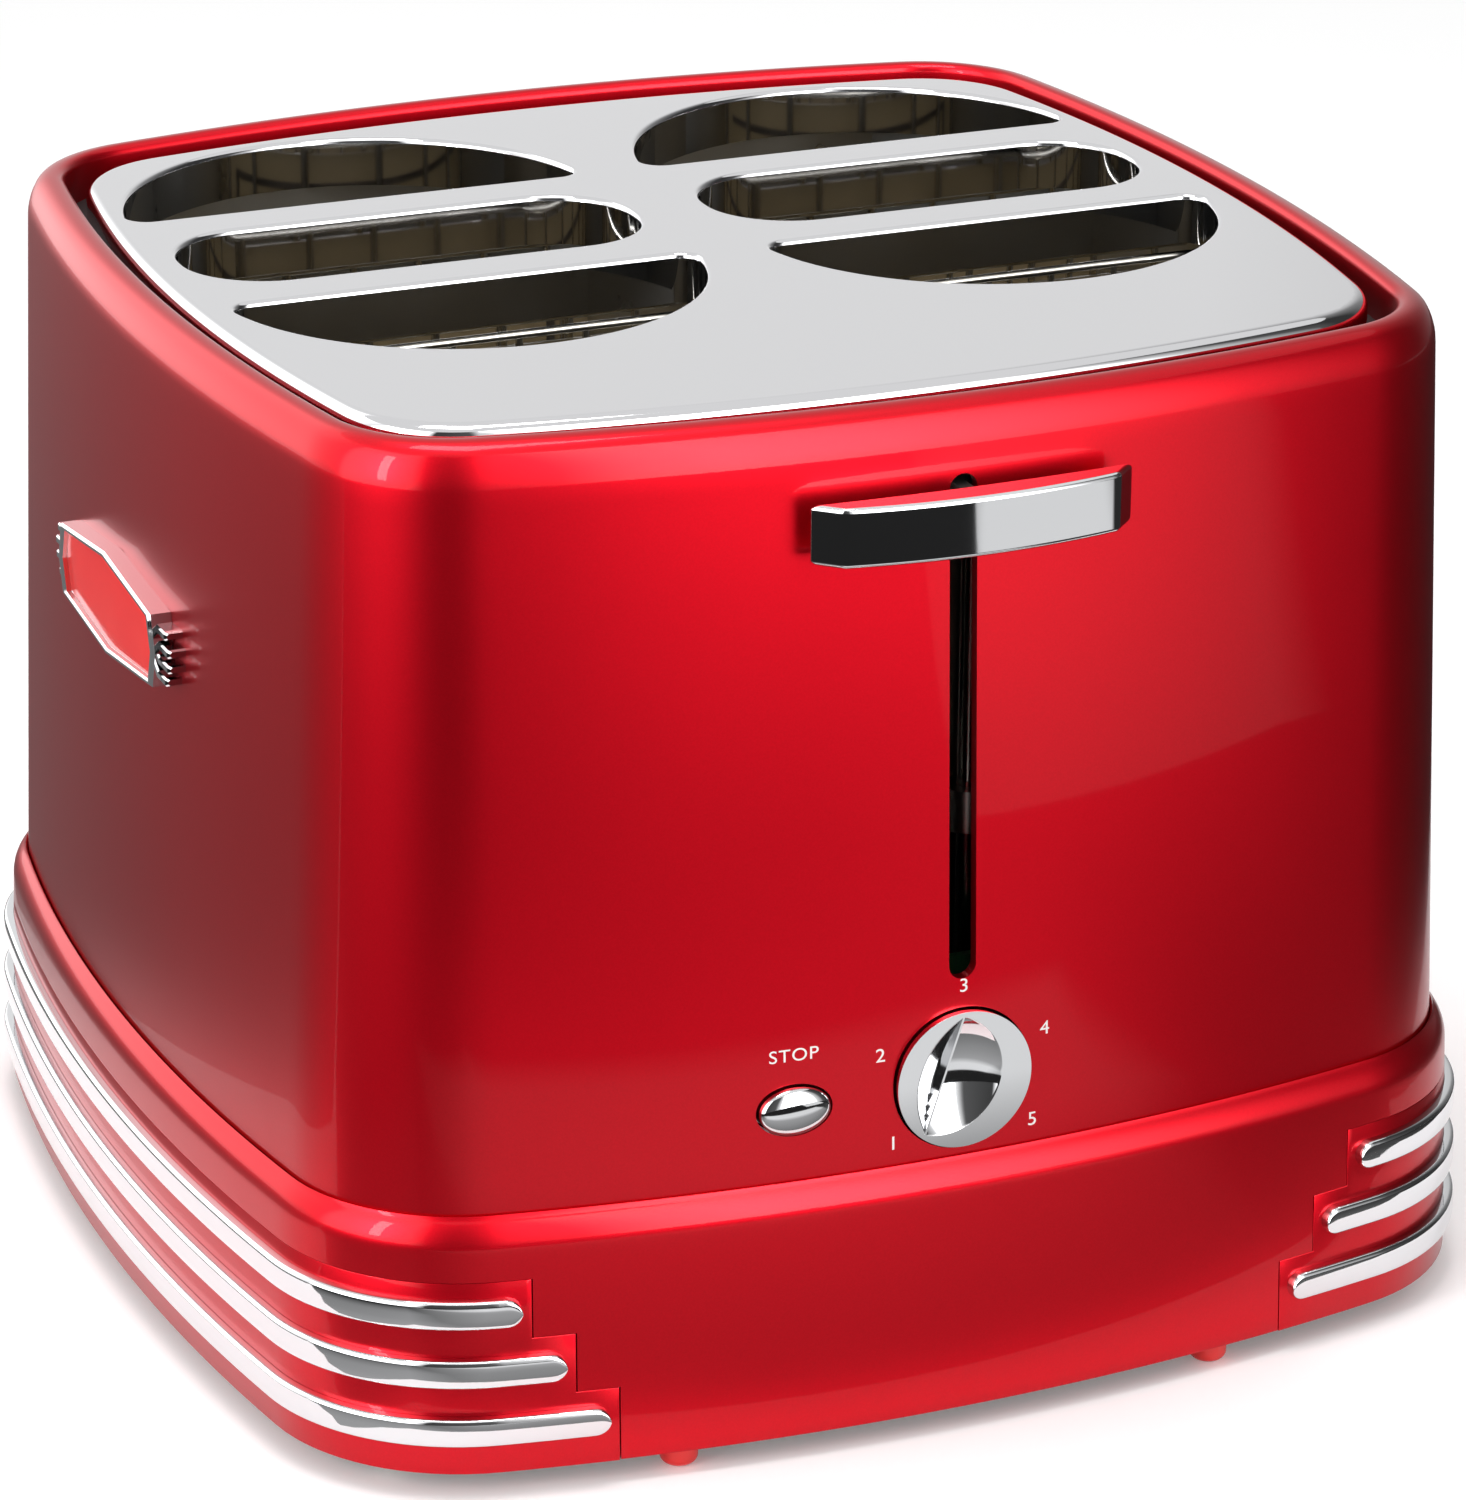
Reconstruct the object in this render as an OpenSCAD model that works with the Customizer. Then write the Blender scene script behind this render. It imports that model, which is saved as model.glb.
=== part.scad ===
// Four-place hot dog toaster with pop-up carriage.
// The origin is the middle of the plan on the table, +Z is up, and the front faces -Y.

/* [Body] */
// Width of the body where it meets the skirt
body_w = 238; // [234:1:246]
// Depth of the body where it meets the skirt
body_d = 235; // [231:1:243]
// Radius that the front and back faces are bowed to
front_bow = 431; // [380:1:600]
// Radius that the two sides are bowed to
side_bow = 509; // [440:1:700]
// Corner radius of the body
corner_r = 34; // [30:1:38]
// Lean of the walls, in degrees
draft = 2.2; // [1.6:0.1:2.6]
// Thickness of the moulded body
wall = 2.2; // [1.8:0.1:2.6]
// Height of the whole toaster
total_h = 190.5; // [188:0.5:200]
// Soft rounding where the wall turns towards the rim
rim_soft_r = 12; // [9:0.5:15]
// Tighter rounding at the rim's crest
rim_r = 4.5; // [4:0.1:5.5]
// Lean of the wall where the tighter rounding starts, in degrees
rim_turn = 30; // [24:1:40]
// Rounding of the rim's inner lip
lip_r = 1.8; // [1.6:0.1:2.4]
// Thickness of the inner lip
lip_t = 1.4; // [1.2:0.1:1.5]
// How far the inner lip hangs down
lip_drop = 8.5; // [7:0.5:10]

/* [Skirt] */
// Height of the skirt's lower edge over the table
skirt_z = 4.4; // [3:0.2:6]
// Height where the skirt's shoulder starts
shoulder_z = 46.5; // [45:0.5:48]
// How far the skirt stands out from the body
flare = 4.7; // [4:0.1:6]
// Radius of the shoulder
shoulder_r = 8; // [7:0.5:9]
// Radius of the hollow above the shoulder
cove_r = 4; // [3.5:0.5:5]
// Wall of the skirt
skirt_wall = 3; // [2.6:0.1:3.4]
// Depth of the side panels' seat in the skirt
panel_t = 1.6; // [1.2:0.1:1.8]
// Parting gap round the side panels
panel_gap = 0.2; // [0.1:0.05:0.4]

/* [Chrome ribs] */
// Height of each rib
rib_h = 5.4; // [4.4:0.2:6.4]
// How far each rib stands out of the skirt
rib_out = 2; // [1.4:0.1:3]
// Rounding of a rib's edges
rib_round = 0.9; // [0.5:0.1:1.2]
// Middle of the lowest rib
rib_z = 12.9; // [12:0.1:13.5]
// Distance from one rib to the next
rib_pitch = 11.2; // [10:0.1:11.4]
// Distance of the lowest rib's ends from the middle
rib_end = 66.5; // [60:0.5:70]
// How much earlier each higher rib ends
rib_step = 7.5; // [7:0.5:9]

/* [Top plate] */
// Distance of the plate's side edges in from the body's outline
plate_side_in = 14.7; // [14.5:0.1:16]
// Distance of the plate's front and back edges in from the body's outline
plate_end_in = 19.6; // [17.5:0.1:20]
// Radius that the plate's front and back edges are bowed to
plate_front_bow = 460; // [400:1:700]
// Radius that the plate's side edges are bowed to
plate_side_bow = 426; // [380:1:700]
// Corner radius of the plate
plate_r = 22.5; // [20:0.5:26]
// Thickness of the plate
plate_t = 0.9; // [0.7:0.1:1.2]
// Distance of the plate below the rim
plate_down = 0.7; // [0.4:0.1:1.5]
// Rounding of the plate's turned edge
plate_edge_r = 2.6; // [2:0.1:3.5]

/* [Slots] */
// Strip of the plate between the two columns of slots
column_gap = 13.6; // [13.6:0.2:18]
// Distance of the bun slots' outer ends from the plate's side edges
slot_side_in = 7.1; // [6.6:0.1:9]
// Distance of the rear bun slots' bow from the plate's back edge
slot_back_in = 8.6; // [8:0.1:12]
// Distance of the front bun slots' bow from the plate's front edge
slot_front_in = 46.6; // [45:0.2:50]
// How far each end of a hot dog slot stays inside the bun slots' ends
dog_slot_in = 0.9; // [0.5:0.1:2]
// Width of a hot dog slot
dog_slot_w = 34; // [32:0.5:36]
// Corner radius of a hot dog slot
dog_slot_r = 16; // [12:0.5:17]
// Width of the strip between a hot dog slot and a bun slot
bridge_w = 11.3; // [10.8:0.1:12]
// Rounding of a bun slot's two tips
bun_tip_r = 4; // [3:0.5:6]
// Depth of the turned-down lip in each slot
slot_lip = 9.5; // [6:0.5:10]

/* [Lever] */
// Width of the lever handle
lever_w = 57.4; // [50:0.2:64]
// Height of the lever handle
lever_h = 10.8; // [9:0.2:12]
// Distance of the lever's middle below the toaster's top when it is up
lever_down = 18.5; // [17.5:0.5:20]
// Width of the lever's slot in the body
lever_slot_w = 5.2; // [4.6:0.1:6]
// Gap between the lever and the body
lever_gap = 4.4; // [3:0.1:5]
// Thickness of the lever handle at its middle
lever_t = 6.3; // [4.5:0.1:7]
// Radius that the handle's face is bowed to
lever_bow = 101; // [80:1:160]
// Length of the slanted end of the handle
lever_chamfer = 6; // [4:0.5:8]
// Thickness of the steel blade behind the handle
blade_t = 2.4; // [1.8:0.1:3]
// Height of the blade
blade_h = 8; // [6:0.5:8]

/* [Controls] */
// Height of the knob's axis
knob_z = 67; // [64:0.1:68]
// Height of the stop button's middle
button_z = 65.7; // [64:0.1:68]
// Diameter of the knob
knob_dia = 27.4; // [26:0.2:30]
// Gap round the knob
ring_gap = 0.8; // [0.6:0.1:1.2]
// How far the knob's face stands out of the body
knob_out = 1.2; // [0.8:0.1:3]
// Thickness of the knob
knob_t = 7; // [6:0.5:8]
// Depth of the finger scoops in the knob
scoop_deep = 4.2; // [3:0.2:5]
// Distance of the knob's straight ridge from its axis
ridge_off = 4.2; // [3:0.2:5]
// Width of the ridge's crest
ridge_w = 0.5; // [0.3:0.1:1]
// Direction of the ridge at setting 1, in degrees from the right
ridge_dir = 71.6; // [60:0.2:90]
// Diameter of the knob's shaft
shaft_dia = 6; // [5:0.5:7]
// Distance of the stop button from the middle
button_x = 31.8; // [30:0.2:34]
// Width of the stop button
button_w = 13.4; // [11:0.2:15]
// Height of the stop button
button_h = 9; // [7:0.2:10]
// How far the stop button goes in
button_travel = 1.8; // [1:0.1:2]

/* [Badge frame] */
// Length of the badge frame on the left side
badge_l = 58; // [50:1:64]
// Height of the badge frame
badge_h = 20; // [16:0.5:24]
// How far the badge frame stands out of the side
badge_out = 3.4; // [2.5:0.1:4]
// Distance of the badge frame's middle below the toaster's top
badge_down = 57.5; // [50:0.5:65]

/* [Chassis] */
// Thickness of the sheet steel
sheet = 1; // [0.8:0.1:1.2]
// Distance of the side sheets in from the body's outline
side_in = 18; // [17.5:0.1:18.5]
// Distance of the rear sheet in from the body's outline
rear_in = 18.5; // [17.5:0.5:20]
// Distance of the front sheet from the front bun slots' bow
front_gap = 8.7; // [7:0.1:10]
// Distance of the circuit board in from the body's outline
board_in = 18.5; // [17:0.5:19]
// Half the gap between the two inner sheets, where the carriage runs
aisle = 8; // [6:0.2:8]
// Radius of a guard wire
wire_r = 0.9; // [0.6:0.1:1]
// Number of upright wires in a guard
wire_count = 7; // [5:1:8]
// Thickness of a heater card
card_t = 0.8; // [0.5:0.1:1]
// Number of ribbon runs on a heater card
ribbon_runs = 9; // [5:1:11]
// Radius of a guide rod
rod_r = 2; // [1.8:0.1:2.4]
// Distance of the guide rods from the middle
rod_x = 16; // [14:0.5:18]
// Distance of the guide rods in front of the front sheet
rod_out = 23; // [22:0.5:24]

/* [Carriage] */
// Depth of the food supports below the toaster's top when the carriage is up
food_down = 86.5; // [84:0.5:90]
// Height of the food supports when the carriage is down
food_low = 24; // [24:0.5:30]
// Diameter of a hot dog cup
cup_dia = 27; // [25:0.5:30]
// Distance between the two hot dogs of a slot
dog_pitch = 46; // [42:1:50]
// Number of curls in the return spring
spring_curls = 20; // [10:1:24]

/* [Tray] */
// Distance of the drip tray's sides from the lowest ribs' ends
tray_side_gap = 4.5; // [4:0.1:12]
// Height of the drip tray's walls
tray_h = 7.4; // [5:0.2:8]

/* [Hidden] */
$fn = 48;
plate_w = body_w - 2 * plate_side_in;
plate_d = body_d - 2 * plate_end_in;
bun_slot_l = (plate_w - column_gap) / 2 - slot_side_in;
dog_slot_l = bun_slot_l - 2 * dog_slot_in;
column_x = (column_gap + bun_slot_l) / 2;       // middle of a column of slots
bun_slot_d = (plate_d - slot_front_in - slot_back_in - dog_slot_w) / 2 - bridge_w;
slots_y = plate_d / 2 - slot_back_in - bun_slot_d - bridge_w - dog_slot_w / 2;   // middle of the hot dog slots
lever_z = total_h - lever_down;
badge_z = total_h - badge_down;
food_z = total_h - food_down;
travel = food_z - food_low;                     // how far the carriage goes down
side_x = body_w / 2 - side_in;
rear_y = body_d / 2 - rear_in;
front_y = bun_slot_d + bridge_w + dog_slot_w / 2 - slots_y + front_gap;
rod_y = front_y + rod_out;
tray_w = 2 * (rib_end - tray_side_gap);
fit = 0.05;          // running clearance of a shaft or rod
slack = 0.3;         // clearance of loose seats
bow_fn = 360;        // facets of a full turn on the bowed faces

// Wall offset from the body's outline at the skirt: it leans inwards as it rises.
lean_z = 50;
function lean(z) = -(z - lean_z) * tan(draft);

// ---------- outlines: four bowed sides joined by four corner arcs ----------
// An outline is [half width, half depth, front bow, side bow, corner radius].
body_path = [body_w / 2, body_d / 2, front_bow, side_bow, corner_r];
plate_path = [plate_w / 2, plate_d / 2, plate_front_bow, plate_side_bow, plate_r];

// Centre of the front right corner, where both bows can take the corner radius.
function corner(p) =
    let (f = [0, p[2] - p[1]], s = [p[0] - p[3], 0],
         rf = p[2] - p[4], rs = p[3] - p[4],
         gap = norm(s - f), a = (rf * rf - rs * rs + gap * gap) / (2 * gap),
         h = sqrt(rf * rf - a * a), u = (s - f) / gap, m = f + a * u)
    [m[0] - h * u[1], m[1] + h * u[0]][0] > 0
        ? [m[0] - h * u[1], m[1] + h * u[0]]
        : [m[0] + h * u[1], m[1] - h * u[0]];
function front_turn(p) = let (c = corner(p)) atan2(c[0], p[2] - p[1] - c[1]);
function side_turn(p) = let (c = corner(p)) atan2(-c[1], c[0] - p[0] + p[3]);
function arc(c, r, a0, a1, n) = [for (i = [0:n]) c + r * [cos(a0 + (a1 - a0) * i / n), sin(a0 + (a1 - a0) * i / n)]];

// The outline moved outwards by d, as points: n steps along each arc.
function outline(p, d, n = 8) =
    let (c = corner(p), f = front_turn(p), s = side_turn(p),
         quarter = concat(arc([0, p[2] - p[1]], p[2] + d, -90, f - 90, n),
                          arc(c, p[4] + d, f - 90, -s, n),
                          arc([p[0] - p[3], 0], p[3] + d, -s, 0, n)),
         half = concat(quarter, [for (i = [len(quarter) - 1:-1:0]) [quarter[i][0], -quarter[i][1]]]),
         whole = concat(half, [for (i = [len(half) - 1:-1:0]) [-half[i][0], half[i][1]]]))
    [for (i = [0:len(whole) - 1]) if (norm(whole[i] - whole[(i + 1) % len(whole)]) > 0.001) whole[i]];

// One arc of a wall: the child profile is drawn as [offset from the outline, height].
module bow(centre, r, a0, a1, fn = bow_fn)
    translate(centre) rotate_extrude(angle = a1 - a0, start = a0, $fn = fn) translate([r, 0]) children();

// Neighbouring arcs lap by a hair, and the corners' profiles are a hair smaller ($inset),
// so that they fuse into one wall.
seam = 0.02;
lap = 0.1;

// The corner arc at the right front (y = -1) or right back (y = 1) of outline p.
module corner_arc(p, y) {
    c = corner(p);
    f = front_turn(p);
    s = side_turn(p);
    bow([c[0], -y * c[1]], p[4], y < 0 ? f - 90 - lap : s - lap, y < 0 ? lap - s : 90 - f + lap, 96, $inset = seam)
        children();
}

// A whole wall round outline p.
module ring(p) {
    f = front_turn(p);
    s = side_turn(p);
    for (y = [-1, 1]) bow([0, -y * (p[2] - p[1])], p[2], 90 * y - f, 90 * y + f, $inset = 0) children();
    for (x = [0, 1]) mirror([x, 0, 0]) {
        bow([p[0] - p[3], 0], p[3], -s, s, $inset = 0) children();
        for (y = [-1, 1]) corner_arc(p, y) children();
    }
}

// The part of that wall that wraps one side (1 right, -1 left), up to x = reach on the front and back.
module flank(p, side, reach, d = 0) {
    f = front_turn(p);
    s = side_turn(p);
    e = asin(reach / (p[2] + d));
    mirror([side < 0 ? 1 : 0, 0, 0]) {
        bow([0, p[2] - p[1]], p[2], e - 90, f - 90, $inset = 0) children();
        bow([p[0] - p[3], 0], p[3], -s, s, $inset = 0) children();
        bow([0, p[1] - p[2]], p[2], 90 - f, 90 - e, $inset = 0) children();
        for (y = [-1, 1]) corner_arc(p, y) children();
    }
}

// Distance of the outline's front from the centre at x, moved outwards by d.
function front_at(x, d = 0) = sqrt(pow(front_bow + d, 2) - x * x) - (front_bow - body_d / 2);

module tube_y(r, y0, y1, x = 0, z = 0) translate([x, y0, z]) rotate([-90, 0, 0]) cylinder(r = r, h = y1 - y0);
module block(x0, x1, y0, y1, z0, z1) translate([x0, y0, z0]) cube([x1 - x0, y1 - y0, z1 - z0]);

// ---------- body shell ----------
ledge_z = 42;                                   // the shell stands on the skirt's ledge here
crest_z = total_h - rim_r;                      // centre of the crest's rounding
soft_z = crest_z - (rim_soft_r - rim_r) * sin(rim_turn);
soft_d = lean(soft_z + rim_soft_r * sin(draft)) - rim_soft_r * cos(draft);
crest_d = soft_d + (rim_soft_r - rim_r) * cos(rim_turn);
lip_d = crest_d - lip_r;                        // offset of the lip's face
lip_z = total_h - lip_drop;                     // lower edge of the lip, on the collar
function shell_profile(g) = concat(
    [[lean(ledge_z) - g, ledge_z]],
    arc([soft_d, soft_z], rim_soft_r - g, draft, rim_turn, 4),
    arc([crest_d, crest_z], rim_r - g, rim_turn + 10, 90, 5),
    arc([crest_d, total_h - lip_r], lip_r - g, 112, 180, 3),
    [[lip_d + g, lip_z], [lip_d + lip_t - g, lip_z]],
    arc([crest_d, crest_z], rim_r - wall + g, acos((lip_t - lip_r - g) / (rim_r - wall + g)), rim_turn, 3),
    arc([soft_d, soft_z], rim_soft_r - wall + g, rim_turn - 9, draft, 2),
    [[lean(ledge_z) - wall + g, ledge_z]]);

slot_top = lever_z + blade_h / 2 + 2;
slot_foot = lever_z - travel - blade_h / 2 - 2.3;
knob_hole_r = knob_dia / 2 + ring_gap;
board_y = board_in - body_d / 2;                // front face of the circuit board
board_screw_r = 1.2;
board_over = 19.2;                              // how far the board goes past the stop button
board_right = 30;
board_up = 15;                                  // its upper and lower edges, from the knob's axis
board_low = 17;
board_edge = 4;                                 // middle of a screw from the board's side edge
board_rim = 5;                                  // and from its upper or lower edge
board_hole = [for (x = [board_edge - button_x - board_over, board_right - board_edge],
    z = [knob_z - board_low + board_rim, knob_z + board_up - board_rim]) [x, z]];
panel_y = -front_at(0, lean(knob_z));        // front of the body at the knob
button_y = -front_at(button_x, lean(button_z));

function oval(w, h, n = 40) = [for (i = [0:n - 1]) [w / 2 * cos(360 * i / n), h / 2 * sin(360 * i / n)]];
module oval_y(w, h, y0, y1, x, z)
    translate([x, y1, z]) rotate([90, 0, 0]) linear_extrude(y1 - y0) polygon(oval(w, h));

module body_shell() color("crimson") {
    difference() {
        union() {
            ring(body_path) polygon(shell_profile($inset));
            for (b = board_hole)
                tube_y(3, -front_at(b[0], lean(b[1])) + wall / 2, board_y, b[0], b[1]);
        }
        block(-lever_slot_w / 2, lever_slot_w / 2, -body_d, -body_d / 2 + 20,
            slot_foot + lever_slot_w / 2, slot_top - lever_slot_w / 2);
        for (z = [slot_foot, slot_top - lever_slot_w])
            tube_y(lever_slot_w / 2, -body_d, -body_d / 2 + 20, 0, z + lever_slot_w / 2);
        tube_y(knob_hole_r, -body_d, -body_d / 2 + 12, 0, knob_z);
        oval_y(button_w + 0.8, button_h + 0.8, -body_d, -body_d / 2 + 12, -button_x, button_z);
        for (b = board_hole) tube_y(board_screw_r + fit, board_y - 8, board_y + 1, b[0], b[1]);
        badge_pins(fit);
    }
}

// ---------- skirt, side panels and ribs ----------
function skirt_face(z) = flare - (z - skirt_z) * tan(draft);
cove_gap = shoulder_r + cove_r;
shoulder_d = skirt_face(shoulder_z) - shoulder_r * cos(draft);   // centre of the shoulder's rounding
turn_z = shoulder_z - shoulder_r * sin(draft);
cove_rise = sqrt(cove_gap * cove_gap - pow(cove_r - shoulder_d, 2));
meet = atan2(cove_rise, cove_r - shoulder_d);   // where the rounding turns into the hollow
skirt_in = flare - skirt_wall;
shell_gap = 0.3;                                // gap between the shell and the skirt's upper edge
skirt_edge = shell_gap + 0.6;                   // offset of that edge's outer side
edge_turn = acos((cove_r - skirt_edge) / cove_r);
function skirt_profile() = concat(
    [[skirt_in, skirt_z], [flare, skirt_z]],
    arc([shoulder_d, turn_z], shoulder_r, draft, meet, 6),
    arc([cove_r, turn_z + cove_rise], cove_r, 180 + meet, 180 + edge_turn, 2),
    [[shell_gap, turn_z + cove_rise - cove_r * sin(edge_turn)], [lean(ledge_z) + shell_gap, ledge_z],
     [-3, ledge_z], [-3, ledge_z - ledge_t], [skirt_in, ledge_z - ledge_t]]);
ledge_t = 2.5;

function band_top(i) = rib_z + rib_pitch * i + rib_pitch / 2;
function band_end(i) = rib_end + rib_step * i;

panel_lead = 1.8;                               // how far a band starts before its rib
// The three stepped bands of a side panel, each a little past its rib's end.
module bands(side, grow, out) {
    for (i = [0:2]) {
        low = i == 0 ? skirt_z - grow * 5 : band_top(i - 1) + grow;
        high = band_top(i) + grow;
        flank(body_path, side, band_end(i) - panel_lead - grow, flare) translate([-$inset, 0])
            polygon([[skirt_face(low) - panel_t, low], [skirt_face(low) + out, low],
                [skirt_face(high) + out, high], [skirt_face(high) - panel_t, high]]);
    }
}

screw_r = 1.5;
screw_l = 14;
boss_r = 4;
boss = let (c = corner(body_path), reach = (corner_r + skirt_in - boss_r + 1) * sqrt(0.5)) [c[0] + reach, reach - c[1]];
plate_base = 1.6;                               // thickness of the bottom plate
floor_z = skirt_z + plate_base;
tray_gap = 0.5;
tray_z = floor_z + slack;
gland_at = [55, 28];                            // middle of the cord's gland, on the back
gland_r = 5;
// Places children on the back of the skirt with their Z pointing straight out.
module on_back(x, z) translate([0, body_d / 2 - front_bow, z])
    rotate([0, 0, 90 - asin(x / (front_bow + skirt_face(z)))])
    translate([front_bow + skirt_face(z), 0, 0]) rotate([0, 90, 0]) children();

module tray_window(grow) block(-tray_w / 2 - 1 - grow, tray_w / 2 + 1 + grow, 50, body_d,
    tray_z - grow, tray_z + tray_h + 1 + grow);

module base_skirt() color("crimson") {
    difference() {
        union() {
            ring(body_path) translate([-$inset, 0]) polygon(skirt_profile());
            for (x = [-1, 1], y = [-1, 1])
                translate([x * boss[0], y * boss[1], floor_z]) cylinder(r = boss_r, h = ledge_z - 1.5 - floor_z);
        }
        for (side = [-1, 1]) bands(side, panel_gap, 4);
        for (x = [-1, 1], y = [-1, 1])
            translate([x * boss[0], y * boss[1], floor_z - 1]) cylinder(r = screw_r + fit, h = screw_l);
        tray_window(tray_gap);
        on_back(gland_at[0], gland_at[1]) translate([0, 0, -10]) cylinder(r = gland_r + 0.2, h = 20);
    }
}

module trim_panel(side) color("crimson") bands(side, 0, 0);
module trim_panel_left() trim_panel(-1);
module trim_panel_right() trim_panel(1);

// A chrome strip with rounded edges and a round end.
function rib_profile(z) = let (top = z + rib_h / 2, low = z - rib_h / 2, out = skirt_face(z) + rib_out) concat(
    [[skirt_face(low), low]], arc([out - rib_round, low + rib_round], rib_round, -90, 0, 3),
    arc([out - rib_round, top - rib_round], rib_round, 0, 90, 3), [[skirt_face(top), top]]);
function rib_end_profile() = let (r = rib_h / 2 - seam, out = rib_out - seam)
    concat([[0, 2 * seam], [r, 2 * seam]], arc([r - rib_round, out - rib_round], rib_round, 0, 90, 3), [[0, out]]);

module rib(side, i) color("silver") {
    z = rib_z + rib_pitch * i;
    reach = band_end(i) + rib_h / 2;
    flank(body_path, side, reach, skirt_face(z)) translate([-$inset, 0]) polygon(rib_profile(z));
    turn = asin(reach / (front_bow + skirt_face(z)));
    for (y = [-1, 1]) translate([0, y * (body_d / 2 - front_bow), z])
        rotate([0, 0, 90 * y - side * y * turn]) translate([front_bow + skirt_face(z), 0, 0])
        rotate([0, 90, 0]) rotate_extrude() polygon(rib_end_profile());
}
module rib_left_lower() rib(-1, 0);
module rib_left_middle() rib(-1, 1);
module rib_left_upper() rib(-1, 2);
module rib_right_lower() rib(1, 0);
module rib_right_middle() rib(1, 1);
module rib_right_upper() rib(1, 2);

// ---------- badge frame on the left side ----------
badge_front = body_w / 2 + lean(badge_z) + badge_out;
badge_rim = 1.3;                                // width of the frame's border
badge_sink = 1.2;                               // depth of the insert behind the border
badge_pin_r = 1.5;
fin_count = 4;                                  // small fins at each end of the frame
fin_l = 6;
function badge_outline(in) = let (l = badge_l / 2 - in * 1.6, h = badge_h / 2 - in, n = l * 0.93, m = h * 0.69)
    [[-l, 0], [-n, -m], [0, -h], [n, -m], [l, 0], [n, m], [0, h], [-n, m]];

// A slab of the badge's outline between x0 and x1 to the left of the centre.
module badge_slab(x0, x1, in) translate([-x0, 0, badge_z]) rotate([90, 0, -90])
    linear_extrude(x1 - x0) polygon(badge_outline(in));
module badge_pins(grow) for (y = [-15, 15]) translate([-badge_front + badge_sink + 1.5, y, badge_z])
    rotate([0, 90, 0]) cylinder(r = badge_pin_r + grow, h = badge_out + wall + 2);

// The side of the body as a thick wall, to shape the backs of the badge's pieces.
module side_wall(d) bow([side_bow - body_w / 2, 0], side_bow, 175, 185)
    polygon([[lean(badge_z - 20) + d, badge_z - 20], [lean(badge_z + 20) + d, badge_z + 20],
        [-20, badge_z + 20], [-20, badge_z - 20]]);

module badge_frame() color("silver") {
    difference() {
        union() {
            badge_slab(badge_front - badge_out - 4, badge_front, 0);
            for (y = [-1, 1], i = [0:fin_count - 1]) {
                z = badge_z + (i - (fin_count - 1) / 2) * 2.9;
                l = badge_l / 2 + fin_l - abs(i - (fin_count - 1) / 2) * 1.6;
                block(-badge_front + 1.2, -badge_front + badge_out + 4, min(y * l, y * (badge_l / 2 - 5)),
                    max(y * l, y * (badge_l / 2 - 5)), z - 0.8, z + 0.8);
            }
        }
        badge_slab(badge_front - badge_sink, badge_front + 1, badge_rim);
        side_wall(fit);
    }
    difference() {
        badge_pins(0);
        badge_slab(badge_front - badge_out / 2, badge_front + 1, badge_rim);
    }
}
module badge_insert() color("red") badge_slab(badge_front - badge_sink, badge_front - badge_sink + 0.5, badge_rim + 0.1);

// ---------- top plate with its six slots ----------
plate_z = total_h - plate_down;
function plate_profile(g) = let (c = [-plate_edge_r, plate_z - plate_edge_r]) concat(
    [[-plate_t + g, lip_z], [-g, lip_z]], arc(c, plate_edge_r - g, 0, 90, 5),
    [[-12, plate_z - g], [-12, plate_z - plate_t + g]], arc(c, plate_edge_r - plate_t + g, 90, 0, 4));

// A D shape: one straight side at v = base, a bow of radius r about (0, v0), and two rounded tips.
function d_outline(r, v0, base, tip) =
    let (v = base + tip, u = sqrt(pow(r - tip, 2) - pow(v - v0, 2)), a = atan2(v - v0, u))
    concat(arc([u, v], tip, -90, a, 5), arc([0, v0], r, a, 180 - a, 24), arc([-u, v], tip, 180 - a, 270, 5));
bun_r = (bun_slot_l * bun_slot_l / 4 + bun_slot_d * bun_slot_d) / (2 * bun_slot_d);
bun_v0 = bun_slot_d - bun_r;
// A bun slot and a hot dog slot, grown by g all round.
function bun_outline(g) = d_outline(bun_r + g, bun_v0, -g, bun_tip_r + g);
function dog_outline(g) =
    let (x = dog_slot_l / 2 - dog_slot_r, y = dog_slot_w / 2 - dog_slot_r, r = dog_slot_r + g)
    concat(arc([x, -y], r, -90, 0, 8), arc([x, y], r, 0, 90, 8),
        arc([-x, y], r, 90, 180, 8), arc([-x, -y], r, 180, 270, 8));
bun_v = dog_slot_w / 2 + bridge_w;              // straight side of a bun slot, from the middle of the slots

module slots(g, z0, z1) for (x = [-1, 1]) translate([x * column_x, slots_y, z0]) {
    linear_extrude(z1 - z0) polygon(dog_outline(g));
    translate([0, bun_v]) linear_extrude(z1 - z0) polygon(bun_outline(g));
    mirror([0, 1, 0]) translate([0, bun_v]) linear_extrude(z1 - z0) polygon(bun_outline(g));
}

module top_plate() color("gainsboro") difference() {
    union() {
        ring(plate_path) polygon(plate_profile($inset));
        translate([0, 0, plate_z - plate_t]) linear_extrude(plate_t) polygon(outline(plate_path, -8));
        slots(plate_t, plate_z - slot_lip, plate_z - plate_t / 2);
    }
    slots(0, plate_z - slot_lip - 1, plate_z + 1);
}

// ---------- collar that carries the plate and closes the gap round it ----------
collar_t = 2;
collar_z = lip_z - collar_t;
collar_out = lean(lip_z) - wall - slack - 0.1;
collar_in = -20.4;
module collar_profile() polygon([[collar_in, collar_z], [collar_out, collar_z], [collar_out, lip_z], [collar_in, lip_z]]);
module top_collar() color("dimgray") difference() {
    ring(body_path) translate([-$inset, 0]) collar_profile();
    slots(plate_t + slack, collar_z - 1, lip_z + 1);
}

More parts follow.
